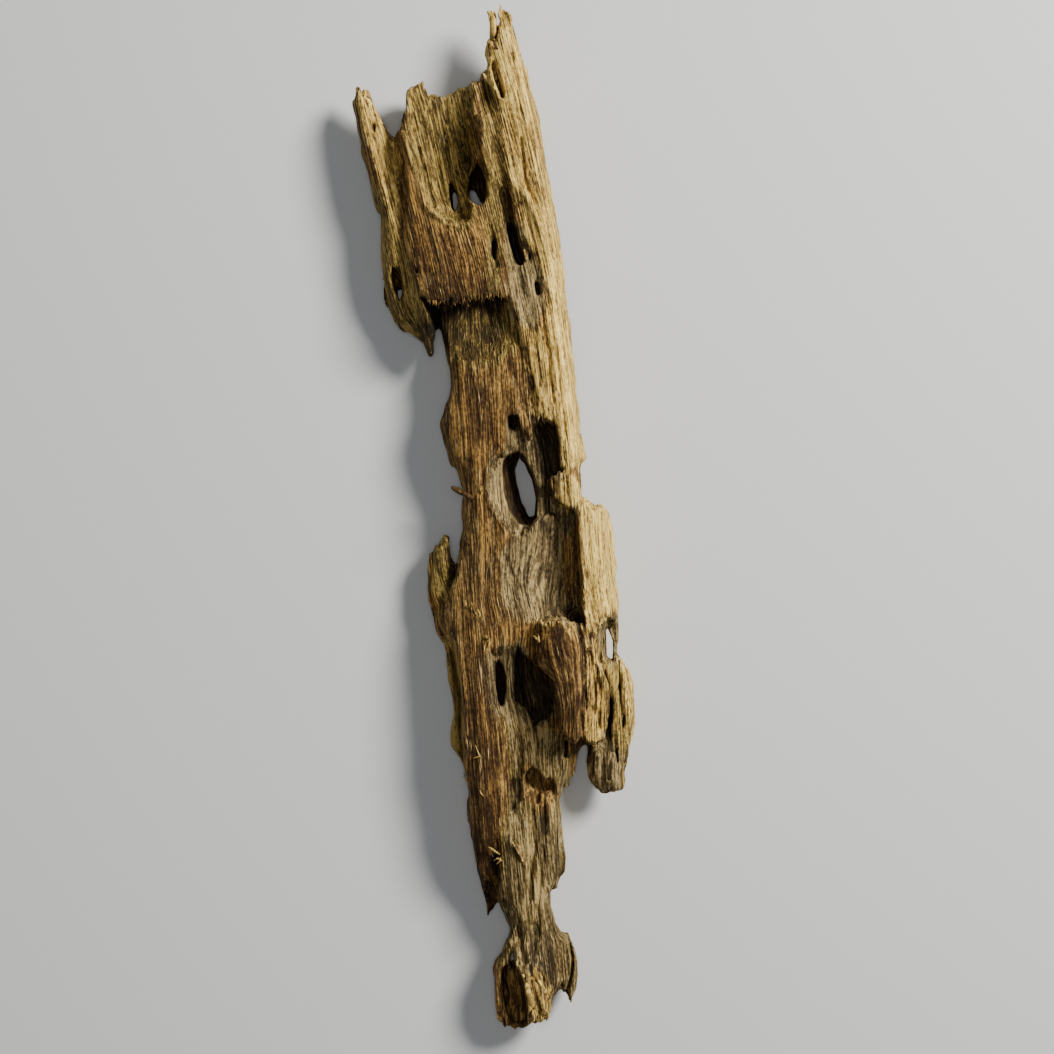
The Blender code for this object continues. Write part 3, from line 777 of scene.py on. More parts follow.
def carve_right_side(front, across, down, gap):
    """Sinks the weathered hollow, the lip, the twin pit and the channel, and lays on the flap and the block.

    The flap is a straight slope that an S curve lowers at its left. The block follows straight parts across
    and falls slowly below row 560. The floors of the pit and the channel are a height changed by S curves
    across and down, and the channel meets the front in a rounded crease.
    """
    front = front - 1.3 * ease(0, 4.0, -gap(GREY_HOLLOW))
    front = cut_floor(front, gap(LIP), 12.8, 2.8)
    flap = 16.6 + 0.11 * (across - 560) - 1.6 * ease(560, 549, across)
    front = mix(front, flap, ease(0.5, -0.7, gap(FLAP)))
    under_tooth = ease(536, 527, across) * ease(460, 440, down)
    pit = 12.0 - 2.0 * ease(536, 550, across) + under_tooth * (2.6 - 4.6 * ease(431, 423, down))
    pit = pit + 0.5 * noise(across / 7.0, down / 30.0, 0.0, 7)
    front = cut_floor(front, gap(TWIN_PIT), pit, 1.1)
    channel = 11.2 + 5.8 * ease(568, 512, across) + 2.0 * ease(590, 622, down) + ease(545, 512, down)
    front = mix(front, soft_min(front, channel, 2.0), ease(0, 0.9, -gap(CHANNEL)))
    block = np.interp(across, (578, 584, 600, 620), (18.8, 20, 18, 12)) - 0.02 * np.clip(down - 560, 0, 60)
    front = laid_on(front, block, gap(RIGHT_BLOCK), 0.45)
    return cut_floor(front, gap(BLOCK_BEVEL), 8.5, 3.4)


def lay_lobes(front, across, down, gap):
    """Lays on the right lobe and the fluted layer, cuts the cupped hollow and lays the nose over it.

    The lobe and the fluted layer follow straight parts across, less straight slopes down the photo. The nose
    is a parabola across, round a crest that follows the row, less an S curve of the row at either end.
    """
    lobe = np.interp(across, (596, 606, 622, 640), (12.2, 12.6, 13, 7.5)) - 0.02 * np.clip(down - 730, 0, 60)
    front = laid_on(front, lobe, gap(RIGHT_LOBE), 0.45)
    fluted = np.interp(across, (576, 584, 596, 610), (19.0, 18.9, 17.6, 15.0))
    fluted = fluted - 0.045 * np.clip(650 - down, 0, 40) - 0.03 * np.clip(down - 700, 0, 60)
    front = laid_on(front, np.maximum(front, fluted), gap(FLUTED_LAYER), 0.4)
    front = cut_floor(front, gap(CUPPED), 14.4, 3.4)
    crest = np.interp(down, (615, 640, 680, 740), (559, 562, 567, 571))
    side = np.clip((across - crest) / 16.0, -2.6, 1.2)
    nose = 26.3 - 1.9 * side**2 - 2.6 * ease(650, 610, down) - 3.4 * ease(690, 742, down)
    return laid_on(front, np.maximum(front, nose), gap(NOSE))


def lay_flakes(front, across, down, gap):
    """Lays on the two flakes behind the left side.

    Each is a straight slope across. S curves level the upper one at its foot and lower its right edge.
    """
    flake = 10.6 + 0.12 * (across - 440) * ease(600, 560, down) - 3.2 * ease(446, 456, across)
    front = laid_on(front, flake, gap(LEFT_FLAKE))
    return laid_on(front, 7.6 + 0.10 * (456 - across), gap(BACK_FLAKE))


def cut_sockets(front, across, down, gap):
    """Cuts the two sockets, the arches and the foot's bowl down to their floors.

    The floors are level, apart from that of the arches, which rises below row 778. Only the arches' edge
    isn't ragged.
    """
    arch_gap = gap_to(ARCHES, across, down)
    arch_floor = 9.6 + 0.15 * np.clip(down - 778, 0, 40)
    for place, floor, wall in (
        (gap(EYE_SOCKET), 4.4, 1.0), (gap(SOCKET_SLOT), 7.5, 0.9), (arch_gap, arch_floor, 1.5),
        (gap(FOOT_BOWL), 8.2, 2.0),
    ):
        front = cut_floor(front, place, floor, wall)
    return front


def back_sheet(across, down, inside, lobe):
    """Back heights: low at the resting rows, hollow between them, rising to the silhouette and the ends.

    They are the sum of one less a bell curve of the way to the nearest resting row, smooth noise, an
    exponential that dies away inwards from the silhouette, and S curves at the ends, the right side and
    the left lobe.
    """
    away = np.abs(down[..., None] - RESTING_ROWS).min(axis=-1) * MM_PER_PIXEL
    back = 2.4 * (1 - np.exp(-((away / 16.0) ** 2))) + 0.9 * noise(across / 24.0, down / 70.0, 0.0, 9)
    back = back + 5.4 * np.exp(-inside / 3.4) - 0.7
    back = back + 6.0 * ease(110, 0, down) + 3.0 * ease(960, 1035, down) + 1.8 * ease(600, 625, across)
    return back + 2.6 * lobe * ease(160, 90, down)


def build_sheets(across, down):
    """Front and back heights over the plan, and the gap to the silhouette.

    An outline is met at places that noise has moved, mostly along the grain, so that its edge is ragged. A
    rib is a bell curve over the distance to its line, and a slit a trough with steep walls. Both sheets
    thin out towards the silhouette.
    """
    fibre = noise(grain_across(across, down) / 0.75, down / 60.0, 0.0, 3)
    coarse = noise(across / 9.0, down / 26.0, 0.0, 4)
    ragged_down = down + 3.4 * fibre + 1.2 * coarse
    ragged_across = across + 1.1 * noise(across / 11.0, down / 17.0, 0.0, 5)
    ragged_across = ragged_across + 0.7 * noise(across / 4.0, down / 9.0, 0.0, 6)

    def gap(outline):
        return gap_to(outline, ragged_across, ragged_down)

    front = folded_sheet(across, down, gap)
    for change in (scoop_bowl, carve_right_side, lay_lobes, lay_flakes, cut_sockets):
        front = change(front, across, down, gap)
    for line, half, height in RIBS:
        front = front + height * np.exp(-((line_gap(line, ragged_across, ragged_down) / half) ** 2))
    for line, half, depth in SLITS:
        away = line_gap(line, ragged_across, down)
        front = front - depth * ease(half * 1.5, half * 0.45, away)
    front = front + 0.35 * noise(across / 22.0, down / 60.0, 0.0, 8)

    rim = gap(SILHOUETTE)
    inside = np.clip(-rim, 0, 30)
    back = back_sheet(across, down, inside, ease(0.5, -0.5, gap(LEFT_LOBE)))
    front = front - 2.2 * np.exp(-inside / 1.5)
    return np.maximum(front, back + 1.4), np.maximum(back, 0.02), rim


def steepness(height):
    """Length of the heights' gradient over the plan, to turn a height difference into a distance."""
    along_x, along_y = np.gradient(height, STEP_ACROSS, STEP_ALONG)
    return np.sqrt(1 + np.clip(along_x**2 + along_y**2, 0, 30))


def smoothed_level(front, rim):
    """The front's height without its relief, carried out past the silhouette.

    It is the blurred heights well inside the silhouette over the blurred share of such places, each with a
    small amount added that brings far places to a middle height.
    """
    far_level = 15.0
    far_weight = 0.0001
    inner = ease(-1.0, -4.0, rim)
    total = blurred(front * inner, 12) + far_weight * far_level
    return total / (blurred(inner, 12) + far_weight)


def wood_field():
    """The grid's axes, a field over it that is below 0 inside the wood, the front and its smoothed level.

    The field is the largest of three distances: past the front sheet, past the back sheet and past the
    silhouette, which is moved by up to about a millimetre in layers that follow the height. Holes and caves
    are taken out by the largest of the field and minus their own distance.
    """
    x = np.arange(-HALF_WIDTH, HALF_WIDTH, STEP_ACROSS)
    y = np.arange(-HALF_LENGTH, HALF_LENGTH, STEP_ALONG)
    z = np.arange(LOWEST, HIGHEST, STEP_UP)
    plan_x, plan_y = np.meshgrid(x, y, indexing="ij")
    across, down = to_across(plan_x), to_down(plan_y)
    front, back, rim = build_sheets(across, down)
    front_slope, back_slope = steepness(front), steepness(back)
    layers = noise(plan_y[..., None] / 26.0, z / 2.2, plan_x[..., None] / 9.0, 11)
    field = rim[..., None] + (1.5 * np.abs(layers) - 0.42) * ease(-4, -1, rim)[..., None]
    above = (z - front[..., None]) / front_slope[..., None]
    below = (back[..., None] - z) / back_slope[..., None]
    field = soft_max(field, soft_max(above, below, 0.6), 1.1)
    for outer, inner in HOLES:
        outer_gap = gap_to(outer, across, down)[..., None]
        inner_gap = gap_to(inner, across, down)[..., None]
        hole = mix(inner_gap, outer_gap, ease(2.0, 9.0, z))
        field = soft_max(field, -hole, 0.4)
    for mid_x, mid_y, height, half_x, half_y, half_z in CAVES:
        reach = np.sqrt(
            ((plan_x[..., None] - to_x(mid_x)) / half_x) ** 2
            + ((plan_y[..., None] - to_y(mid_y)) / half_y) ** 2
            + ((z - height) / half_z) ** 2
        )
        field = soft_max(field, (1 - reach) * min(half_x, half_z), 0.6)
    return x, y, z, field, front, smoothed_level(front, rim)


# Corners of a grid cell, and its edges as pairs of corners
CORNERS = [(i, j, k) for i in (0, 1) for j in (0, 1) for k in (0, 1)]
CELL_EDGES = [(a, b) for a in CORNERS for b in CORNERS if sorted(np.subtract(b, a)) == [0, 0, 1]]


def net_of(x, y, z, field):
    """Points and four-sided faces of the surface where the field is 0.

    Every grid cell that the surface passes through gets one point, the mean of the places where its edges
    cross 0. Every grid edge that crosses 0 gets one face, through the points of the four cells round it,
    turned so that it faces out of the wood.
    """
    inside = field < 0
    size = np.array(field.shape) - 1
    count = np.zeros(size, np.int8)
    for i, j, k in CORNERS:
        count += inside[i:i + size[0], j:j + size[1], k:k + size[2]]
    cell = np.argwhere((count > 0) & (count < 8))
    number = np.full(size, -1, np.int64)
    number[tuple(cell.T)] = np.arange(len(cell))
    total = np.zeros((len(cell), 3))
    crossings = np.zeros(len(cell))
    for start, end in CELL_EDGES:
        at_start = field[tuple((cell + start).T)]
        at_end = field[tuple((cell + end).T)]
        crosses = (at_start < 0) != (at_end < 0)
        share = np.where(crosses, at_start / np.where(crosses, at_start - at_end, 1), 0)
        place = np.array(start) + share[:, None] * np.subtract(end, start)
        total += place * crosses[:, None]
        crossings += crosses
    points = (cell + total / crossings[:, None]) * (x[1] - x[0], y[1] - y[0], z[1] - z[0])
    points += (x[0], y[0], z[0])

    faces = []
    for axis in range(3):
        second, third = (axis + 1) % 3, (axis + 2) % 3
        near = np.take(inside, range(size[axis]), axis=axis)
        far = np.take(inside, range(1, size[axis] + 1), axis=axis)
        place = np.argwhere(near != far)
        keep = (place[:, second] > 0) & (place[:, second] < size[second])
        keep &= (place[:, third] > 0) & (place[:, third] < size[third])
        place = place[keep]
        outward = near[tuple(place.T)]
        ring = []
        for back_second, back_third in ((1, 1), (0, 1), (0, 0), (1, 0)):
            step = np.zeros(3, int)
            step[second], step[third] = back_second, back_third
            ring.append(number[tuple((place - step).T)])
        ring = np.stack(ring, axis=1)
        faces.append(np.where(outward[:, None], ring, ring[:, ::-1]))
    return points, np.concatenate(faces)


def normals_of(points, faces):
    """Unit normals at the points: the sum of the crossed diagonals of the faces round each."""
    corner = points[faces]
    across = np.cross(corner[:, 2] - corner[:, 0], corner[:, 3] - corner[:, 1])
    normal = np.zeros_like(points)
    for column in range(4):
        for axis in range(3):
            normal[:, axis] += np.bincount(faces[:, column], across[:, axis], len(points))
    return normal / np.maximum(np.linalg.norm(normal, axis=1, keepdims=True), 1e-9)


def relax(points, faces, share, rounds):
    """Moves each point part of the way to the mean of its neighbours, the given number of times."""
    ends = np.concatenate([faces[:, [a, (a + 1) % 4]] for a in range(4)])
    number = np.bincount(ends[:, 0], minlength=len(points)) + np.bincount(ends[:, 1], minlength=len(points))
    for _ in range(rounds):
        total = np.zeros_like(points)
        for axis in range(3):
            total[:, axis] = np.bincount(ends[:, 0], points[ends[:, 1], axis], len(points))
            total[:, axis] += np.bincount(ends[:, 1], points[ends[:, 0], axis], len(points))
        points = mix(points, total / number[:, None], share)
    return points


def largest_piece(points, faces):
    """Keeps only the faces joined to the largest piece, by passing the lowest point number along edges."""
    label = np.arange(len(points))
    while True:
        lowest = label[faces].min(axis=1)
        new = label.copy()
        for column in range(4):
            np.minimum.at(new, faces[:, column], lowest)
        new = new[new]
        if (new == label).all():
            break
        label = new
    keep = label == np.bincount(label).argmax()
    number = np.cumsum(keep) - 1
    return points[keep], number[faces[keep[faces].all(axis=1)]]


def openness(points, normals, x, y, z, inside):
    """Share of the sky that each point sees, from 0 in a deep hollow to 1 in the open.

    Lines leave the point in directions spread evenly over a ball by the golden angle. A line is stopped if
    one of its places, set ever further apart out to the longest reach, is inside the wood. Each line counts
    by the cosine of its angle to the normal, and lines behind the surface count nothing.
    """
    seen = np.zeros(len(points))
    whole = np.zeros(len(points))
    low = np.array((x[0], y[0], z[0]))
    step = np.array((x[1] - x[0], y[1] - y[0], z[1] - z[0]))
    top = np.array(inside.shape) - 1
    for line in range(SIGHT_LINES):
        height = 1 - (2 * line + 1) / SIGHT_LINES
        turn = line * math.pi * (3 - math.sqrt(5))
        flat = math.sqrt(1 - height * height)
        direction = np.array((flat * math.cos(turn), flat * math.sin(turn), height))
        weight = np.clip(normals @ direction, 0, None)
        facing = np.flatnonzero(weight > 0)
        start = (points[facing] + 0.7 * normals[facing] - low) / step
        free = np.ones(len(facing), bool)
        for reach in SIGHT:
            cell = np.rint(start + reach * direction / step).astype(np.int32)
            held = ((cell >= 0) & (cell <= top)).all(axis=1)
            cell = np.clip(cell, 0, top)
            free &= ~(inside[cell[:, 0], cell[:, 1], cell[:, 2]] & held)
        seen[facing] += weight[facing] * free
        whole += weight
    return seen / np.maximum(whole, 1e-6)


def grain_place(points, x, y, level):
    """Places in the wood's own directions, in mm: across the grain, along it, and above the smoothed front.

    Below the front the place across grows with the fall, to the left or right of the wood's middle line, so
    that the grain runs straight along the sides as well.
    """
    depth = points[:, 2] - sample(level, x, y, points[:, 0], points[:, 1])
    across, down = to_across(points[:, 0]), to_down(points[:, 1])
    middle = np.interp(down, (0, 250, 500, 700, 850, 1000), (497, 480, 515, 530, 515, 533))
    side = 2 * ease(-45, 45, across - middle) - 1
    fall = np.clip(-depth - 2.0, 0, None)
    return np.stack([grain_across(across, down) + side * fall, points[:, 1], depth], axis=1)


def grain_relief(place):
    """Height of the grain, about -1 to 1: strands, threads, broken terraces and lumps drawn out along it.

    Strands and threads are ridged noise, one less twice the size of smooth noise, so their crests are sharp.
    Terraces are smooth noise turned into flat steps, and lumps are smooth noise that is hardly drawn out.
    """
    u, v, w = place.T
    u = u + 0.5 * noise(u / 5.0, v / 24.0, w / 5.0, 20)
    strand = 1 - 2 * np.abs(noise(u / 3.0, v / 52.0, w / 3.4, 21))
    thread = 1 - 2 * np.abs(noise(u / 1.45, v / 24.0, w / 2.2, 22))
    fine = noise(u / 0.8, v / 11.0, w / 1.3, 23)
    level = 3.0 * noise(u / 2.6, v / 15.0, w / 3.0, 24)
    terrace = np.floor(level) + ease(0.35, 0.65, level - np.floor(level))
    lump = noise(u / 2.0, v / 3.4, w / 2.0, 25)
    return 0.26 * strand + 0.30 * thread + 0.20 * fine + 0.10 * terrace + 0.18 * lump


def zone(outlines, across, down, soft=2.0):
    """Share of each place that lies in any of the outlines, with an edge a few millimetres wide."""
    nearest = np.full(across.shape, np.inf)
    for outline in outlines:
        nearest = np.minimum(nearest, gap_to(outline, across, down))
    return ease(soft, -soft, nearest)


def weathering(points, normals, place):
    """Shares of pale, grey and olive wood and of painted shade, the change of tone, and the grain's height
    in mm.

    The front follows the zones, whose borders are drawn out along the grain. The sides and the back fade to
    patches of smooth noise drawn out along the grain.
    """
    u, v, w = place.T
    across, down = to_across(points[:, 0]), to_down(points[:, 1])
    down = down + 7.0 * noise(u / 0.9, v / 15.0, 0.0, 30) + 5.0 * noise(u / 2.5, v / 20.0, 0.0, 31)
    across = across + 2.0 * noise(u / 4.0, v / 9.0, 0.0, 32)
    front = ease(-0.35, 0.15, normals[:, 2])
    patch = noise(u / 7.0, v / 42.0, w / 6.0, 33)
    pale = mix(ease(0.15, 0.6, patch), 0.82 * zone(PALE_ZONES, across, down), front)
    grey = np.maximum(0.88 * zone(GREY_ZONES, across, down), 0.54 * zone(STEM_ZONES, across, down))
    kept = 1 - zone(BROWN_ZONES, across, down, 1.0)
    grey = mix(ease(0.1, -0.5, patch), kept * grey, front)
    olive = mix(0.4, kept * zone(OLIVE_ZONES + STEM_ZONES, across, down), front)
    # Share of painted shade on the front
    dark = front * zone(PAINTED_SHADE_ZONES, across, down, 0.6)
    lift = np.zeros(len(points))
    # Change of tone: the wood's own, with painted shade, shadow and highlight in some zones
    for outline, change in TONE_AND_PAINTED_LIGHT_ZONES:
        lift += change * front * zone((outline,), across, down, 1.6)
    strength = 0.42 + 0.20 * pale + 0.10 * olive + 0.5 * zone((RIGHT_LOBE, FLUTED_LAYER), across, down)
    return {"pale": pale, "grey": grey, "olive": olive, "dark": dark, "lift": lift}, strength


def thinned(mesh, coarse):
    """A copy of the mesh with no more triangles than the limit, thinned most where coarse is 1."""
    wood = bpy.data.objects.new("thinning", mesh)
    bpy.context.scene.collection.objects.link(wood)
    group = wood.vertex_groups.new(name="coarse")
    steps = 4
    for step in range(1, steps + 1):
        chosen = np.flatnonzero(np.rint(coarse * steps) == step)
        group.add(chosen.tolist(), step / steps, "REPLACE")
    decimate = wood.modifiers.new("thin the back", "DECIMATE")
    decimate.ratio = min(1.0, MOST_TRIANGLES / (2 * len(mesh.polygons)))
    decimate.vertex_group = group.name
    decimate.vertex_group_factor = 1.0
    finished = bpy.data.meshes.new_from_object(wood.evaluated_get(bpy.context.evaluated_depsgraph_get()))
    bpy.data.objects.remove(wood)
    return finished


def add_values(mesh, place, values):
    """Keeps the grain's place and the named numbers on the mesh's points, for its material to read."""
    layer = mesh.attributes.new("grain_place", "FLOAT_VECTOR", "POINT")
    layer.data.foreach_set("vector", place.astype(np.float32).ravel())
    for name, numbers in values.items():
        layer = mesh.attributes.new(name, "FLOAT", "POINT")
        layer.data.foreach_set("value", numbers.astype(np.float32))


def link_piece(name, mesh):
    """Puts a mesh in the scene as a piece of the wood, riding on its body."""
    piece = bpy.data.objects.new(name, mesh)
    bpy.context.scene.collection.objects.link(piece)
    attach(piece, "root")
    return piece


def read_vectors(mesh, name):
    """The places or the normals of a mesh's points, one to a row."""
    values = np.empty(3 * len(mesh.vertices), np.float32)
    mesh.vertices.foreach_get(name, values)
    return values.reshape(-1, 3).astype(float)


def make_wood(x, y, z, field, level):
    """The wood as one closed surface, with the values that its material reads at every point."""
    low = np.array(CAD_BOX[0]) / MM + BOX_MARGIN
    high = np.array(CAD_BOX[1]) / MM - BOX_MARGIN
    points, faces = net_of(x, y, z, field)
    points, faces = largest_piece(points, faces)
    points = relax(points, faces, 0.5, 2)
    normals = normals_of(points, faces)
    place = grain_place(points, x, y, level)
    _, strength = weathering(points, normals, place)
    points = np.clip(points + normals * (strength * grain_relief(place))[:, None], low, high)
    mesh = bpy.data.meshes.new("grid surface")
    mesh.from_pydata((points * MM).astype(np.float32), [], faces)
    mesh = thinned(mesh, ease(0.3, -0.5, normals[:, 2]))
    mesh.name = "driftwood_surface"
    mesh.shade_smooth()

    points = np.clip(read_vectors(mesh, "co") / MM, low, high)
    mesh.vertices.foreach_set("co", (points * MM).astype(np.float32).ravel())
    normals = read_vectors(mesh, "normal")
    place = grain_place(points, x, y, level)
    values, _ = weathering(points, normals, place)
    # Height of the grain, which the material uses for painted shade in its grooves
    values["crest"] = 0.5 + 0.5 * grain_relief(place)
    # How open each point is to the sky, which the material turns into grime and painted shade in hollows
    values["open"] = openness(points, normals, x, y, z, field < 0)
    add_values(mesh, place, values)
    wood = link_piece("driftwood_surface", mesh)
    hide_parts("driftwood")
    return wood


# Torn fibres on the front as (points along each of (across, down, mm above the front), width and thickness
# in mm, shares of pale and of painted shade)
FIBRES = (
    (((450.5, 487), (458, 490), (468, 495.5), (477, 500)), (0.9, 1.2, 0.6, -0.3), 1.5, 1.1, 0, 0.85),
    (((478, 492), (481, 488.5), (482, 497)), (-0.2, 0.6, -0.2), 0.6, 0.4, 1.0, 0),
    (((480, 486), (483, 489), (483, 494)), (-0.2, 0.7, -0.2), 0.4, 0.35, 1.0, 0),
    (((488.5, 845.5), (494, 849.5), (501.5, 855)), (1.6, 1.3, -0.2), 0.6, 0.45, 1.0, 0),
    (((493, 860), (498, 857), (503, 861)), (0.2, 0.9, -0.2), 0.45, 0.4, 1.0, 0),
    (((496, 864), (500, 860), (501, 856)), (0.2, 0.8, -0.2), 0.4, 0.35, 0.9, 0),
    (((471, 600), (473, 607), (477, 616)), (-0.2, 0.35, -0.2), 0.45, 0.35, 1.0, 0),
    (((466, 599), (466, 604), (469, 610)), (-0.2, 0.3, -0.2), 0.4, 0.3, 1.0, 0),
    (((477, 607), (480, 613), (480, 620)), (-0.2, 0.3, -0.2), 0.4, 0.3, 1.0, 0),
    (((482, 637), (487, 636), (489, 642)), (-0.2, 0.7, -0.2), 1.1, 0.7, 0.6, 0),
    (((489, 636), (490, 643), (486, 651)), (-0.2, 0.8, 0.2), 0.5, 0.4, 1.0, 0),
    (((484, 643), (485, 649), (483, 653)), (0.3, 0.5, -0.2), 0.4, 0.35, 1.0, 0),
    (((533, 634), (536, 637), (541, 642)), (-0.2, 0.6, -0.2), 0.7, 0.5, 0.9, 0),
    (((538, 632), (539, 638), (537, 643)), (-0.2, 0.4, -0.2), 0.5, 0.4, 0.9, 0),
    (((475.5, 743), (478, 750), (481, 757)), (0.05, 0.2, 0.0), 0.3, 0.25, 1.0, 0),
    (((473, 757), (479, 755), (484, 756)), (0.05, 0.2, 0.0), 0.25, 0.25, 1.0, 0),
    (((480, 788), (481.5, 792), (484, 795)), (0.05, 0.2, 0.0), 0.3, 0.25, 1.0, 0),
    (((462, 775), (466, 779), (470, 786)), (0.05, 0.2, 0.0), 0.3, 0.25, 0.9, 0),
    (((482.5, 74), (486, 80), (494, 90), (502, 99)), (0.0, 0.1, 0.4, -0.4), 1.1, 0.9, 0.8, 0),
    (((493, 55), (492.6, 66), (495, 78), (500, 92)), (-0.6, 0.0, 0.2, -0.5), 1.6, 1.2, 0.6, 0),
    (((487, 42), (490, 47), (489, 55)), (-0.4, 0.4, -0.3), 0.9, 0.7, 0.3, 0),
    (((494, 40), (495, 47), (499, 52)), (-0.2, 0.5, -0.1), 0.8, 0.6, 0.3, 0),
    (((509, 836), (515, 845), (521, 856), (525, 865)), (-0.3, 0.1, 0.1, -0.3), 0.7, 0.7, 0.5, 0),
    (((512, 836), (519, 846), (524, 852)), (-0.3, 0.0, -0.3), 0.5, 0.5, 0.5, 0),
    (((524, 250), (525, 256), (527, 263)), (0.2, 0.7, -0.2), 0.7, 0.6, 1.0, 0),
    (((521, 968), (527, 984), (532, 1004), (534, 1014)), (-0.4, 0.5, 0.3, -0.4), 1.5, 1.0, 0.75, 0),
    (((529, 970), (536, 984), (542, 1004)), (-0.4, 0.6, -0.4), 1.3, 0.9, 0.9, 0),
    (((537, 976), (544, 990), (550, 1006)), (-0.4, 0.7, -0.2), 1.3, 0.9, 0.8, 0),
    (((527, 990), (530, 1006), (529, 1018)), (-0.4, 0.6, -0.2), 0.9, 0.7, 0.9, 0),
)

# Fringes of torn fibres as (line of roots, number, length and width in mm, shares of pale and of painted
# shade, seed)
FRINGES = (
    (((427, 300), (443, 305), (462, 304), (480, 300), (494, 296), (507, 297)), 46, 1.5, 0.26, 0, 0.5, 1),
    (((548, 620), (560, 618), (570, 619.5)), 5, 0.8, 0.3, 0.8, 0, 2),
    (((540, 420), (553, 420)), 4, 1.3, 0.35, 0.4, 0, 3),
    (((591, 741), (599, 739)), 4, 1.6, 0.4, 0.4, 0, 4),
    (((525, 1018), (548, 1016)), 7, 1.5, 0.45, 0.4, 0, 5),
)


def fringe(line, number, length, width, pale, dark, seed):
    """Fibres in the form of the list above, rooted at even steps along a line and pointing down the photo.

    Each root is moved, and each length, slant and width changed, by scattered numbers.
    """
    ends = np.array(line, float)
    made = []
    for step in range(number):
        roots, reach, slant, size = (scatter(step, part, seed, 40) for part in range(4))
        way = (step + 0.5 + 0.8 * roots) / number * (len(ends) - 1)
        across, down = (np.interp(way, range(len(ends)), ends[:, axis]) for axis in (0, 1))
        run = length * (0.6 + 0.75 * reach) / MM_PER_PIXEL
        tip = (across + run * (0.12 + 0.45 * slant), down + run)
        half = (across + run * 0.1, down + run / 2)
        wide = width * (1 + 0.4 * size)
        made.append(((tip, half, (across, down - 6)), (-0.5, -0.1, -0.35), wide, wide * 0.8, pale, dark))
    return made


# Rings of points along a torn fibre, and points round each ring
FIBRE_RINGS = 14
FIBRE_SIDES = 8


def fibre_surface(line, lifts, width, thickness, front, x, y, seed):
    """Points of one torn fibre: ring after ring from its tip, then its two end points.

    Its middle line is a smooth curve through the given places. Its heights are measured from the front under
    it or, where that is higher, under its last place, its root. Round it runs an ellipse whose size falls to
    nothing at both ends by a root of a sine, and is roughened by noise.
    """
    way = np.linspace(0, 1, FIBRE_RINGS + 2)[1:-1]
    known = np.linspace(0, 1, len(line))
    columns = (*np.transpose(line), lifts)
    middle = np.stack([np.interp(way, known, column) for column in columns], axis=1)
    for _ in range(2):
        middle[1:-1] = (middle[:-2] + 2 * middle[1:-1] + middle[2:]) / 4
    place_x, place_y = to_x(middle[:, 0]), to_y(middle[:, 1])
    level = sample(front, x, y, place_x, place_y)
    middle = np.stack([place_x, place_y, np.maximum(level, level[-1]) + middle[:, 2]], axis=1)
    ahead = np.gradient(middle, axis=0)
    side = np.cross(ahead, (0, 0, 1))
    side /= np.linalg.norm(side, axis=1, keepdims=True)
    turn = np.linspace(0, 2 * math.pi, FIBRE_SIDES, endpoint=False)
    size = np.sin(math.pi * way) ** 0.45 / 2
    rough = 1 + 0.25 * noise(way[:, None] * 5, np.cos(turn), np.sin(turn), seed)
    across = (width * size[:, None] * np.cos(turn) * rough)[..., None] * side[:, None]
    up = (thickness * size[:, None] * np.sin(turn) * rough)[..., None] * np.array((0, 0, 1))
    rings = (middle[:, None] + across + up).reshape(-1, 3)
    return np.concatenate([rings, middle[:1] - 0.5 * ahead[:1], middle[-1:] + 0.5 * ahead[-1:]])


def fibre_faces():
    """Faces of one torn fibre: four-sided ones between its rings, then a fan to the point at each end."""
    ring, corner = np.divmod(np.arange(FIBRE_RINGS * FIBRE_SIDES), FIBRE_SIDES)
    here = ring * FIBRE_SIDES + corner
    beside = ring * FIBRE_SIDES + (corner + 1) % FIBRE_SIDES
    sides = np.stack([here, beside, beside + FIBRE_SIDES, here + FIBRE_SIDES], axis=1)
    tip = np.full(FIBRE_SIDES, len(here))
    first, last = slice(FIBRE_SIDES), slice(-FIBRE_SIDES, None)
    tip_fan = np.stack([tip, beside[first], here[first]], axis=1)
    root_fan = np.stack([tip + 1, here[last], beside[last]], axis=1)
    return sides[:-FIBRE_SIDES], np.concatenate([tip_fan, root_fan])


def make_fibres(x, y, front):
    """The torn fibres as one piece, each a closed surface of its own.

    The grain's place in each is measured from its tip and moved on from the last one's, so none are alike.
    """
    fibres = list(FIBRES)
    for settings in FRINGES:
        fibres += fringe(*settings)
    sides, fans = fibre_faces()
    points, faces, places = [], [], []
    for number, (line, lifts, width, thickness, _, _) in enumerate(fibres):
        made = fibre_surface(line, lifts, width, thickness, front, x, y, 60 + number)
        faces += (sides + number * len(made)).tolist() + (fans + number * len(made)).tolist()
        points.append(made)
        away = made - made[0]
        along = np.linalg.norm(away, axis=1)
        place = (away[:, 2] * 1.5 + 9 * number, along, away[:, 0] * 0.5 + 5 * number)
        places.append(np.stack(place, axis=1))
    pale, dark = (np.repeat([fibre[part] for fibre in fibres], len(points[0])) for part in (4, 5))
    points = np.concatenate(points)
    mesh = bpy.data.meshes.new("torn_fibres")
    mesh.from_pydata((points * MM).astype(np.float32), [], faces)
    mesh.shade_smooth()
    level = np.ones(len(points))
    values = {"pale": pale, "dark": dark, "crest": 0.5 * level, "open": 0.9 * level}
    values.update({name: 0 * level for name in ("grey", "olive", "lift")})
    add_values(mesh, np.concatenate(places), values)
    return link_piece("torn_fibres", mesh)


def node(tree, kind, values=(), **settings):
    """A shader node with its settings, and its sockets linked or set from (socket, value) pairs."""
    made = tree.nodes.new(kind)
    for name, setting in settings.items():
        setattr(made, name, setting)
    for socket, value in values:
        if isinstance(value, bpy.types.NodeSocket):
            tree.links.new(value, made.inputs[socket])
        else:
            made.inputs[socket].default_value = value
    return made


def arithmetic(tree, operation, *values):
    """The result of one arithmetic step on sockets or numbers."""
    return node(tree, "ShaderNodeMath", enumerate(values), operation=operation).outputs[0]


def summed(tree, start, *parts):
    """A first value plus each part, given as (value, weight), times its weight."""
    for value, weight in parts:
        start = arithmetic(tree, "MULTIPLY_ADD", value, weight, start)
    return start


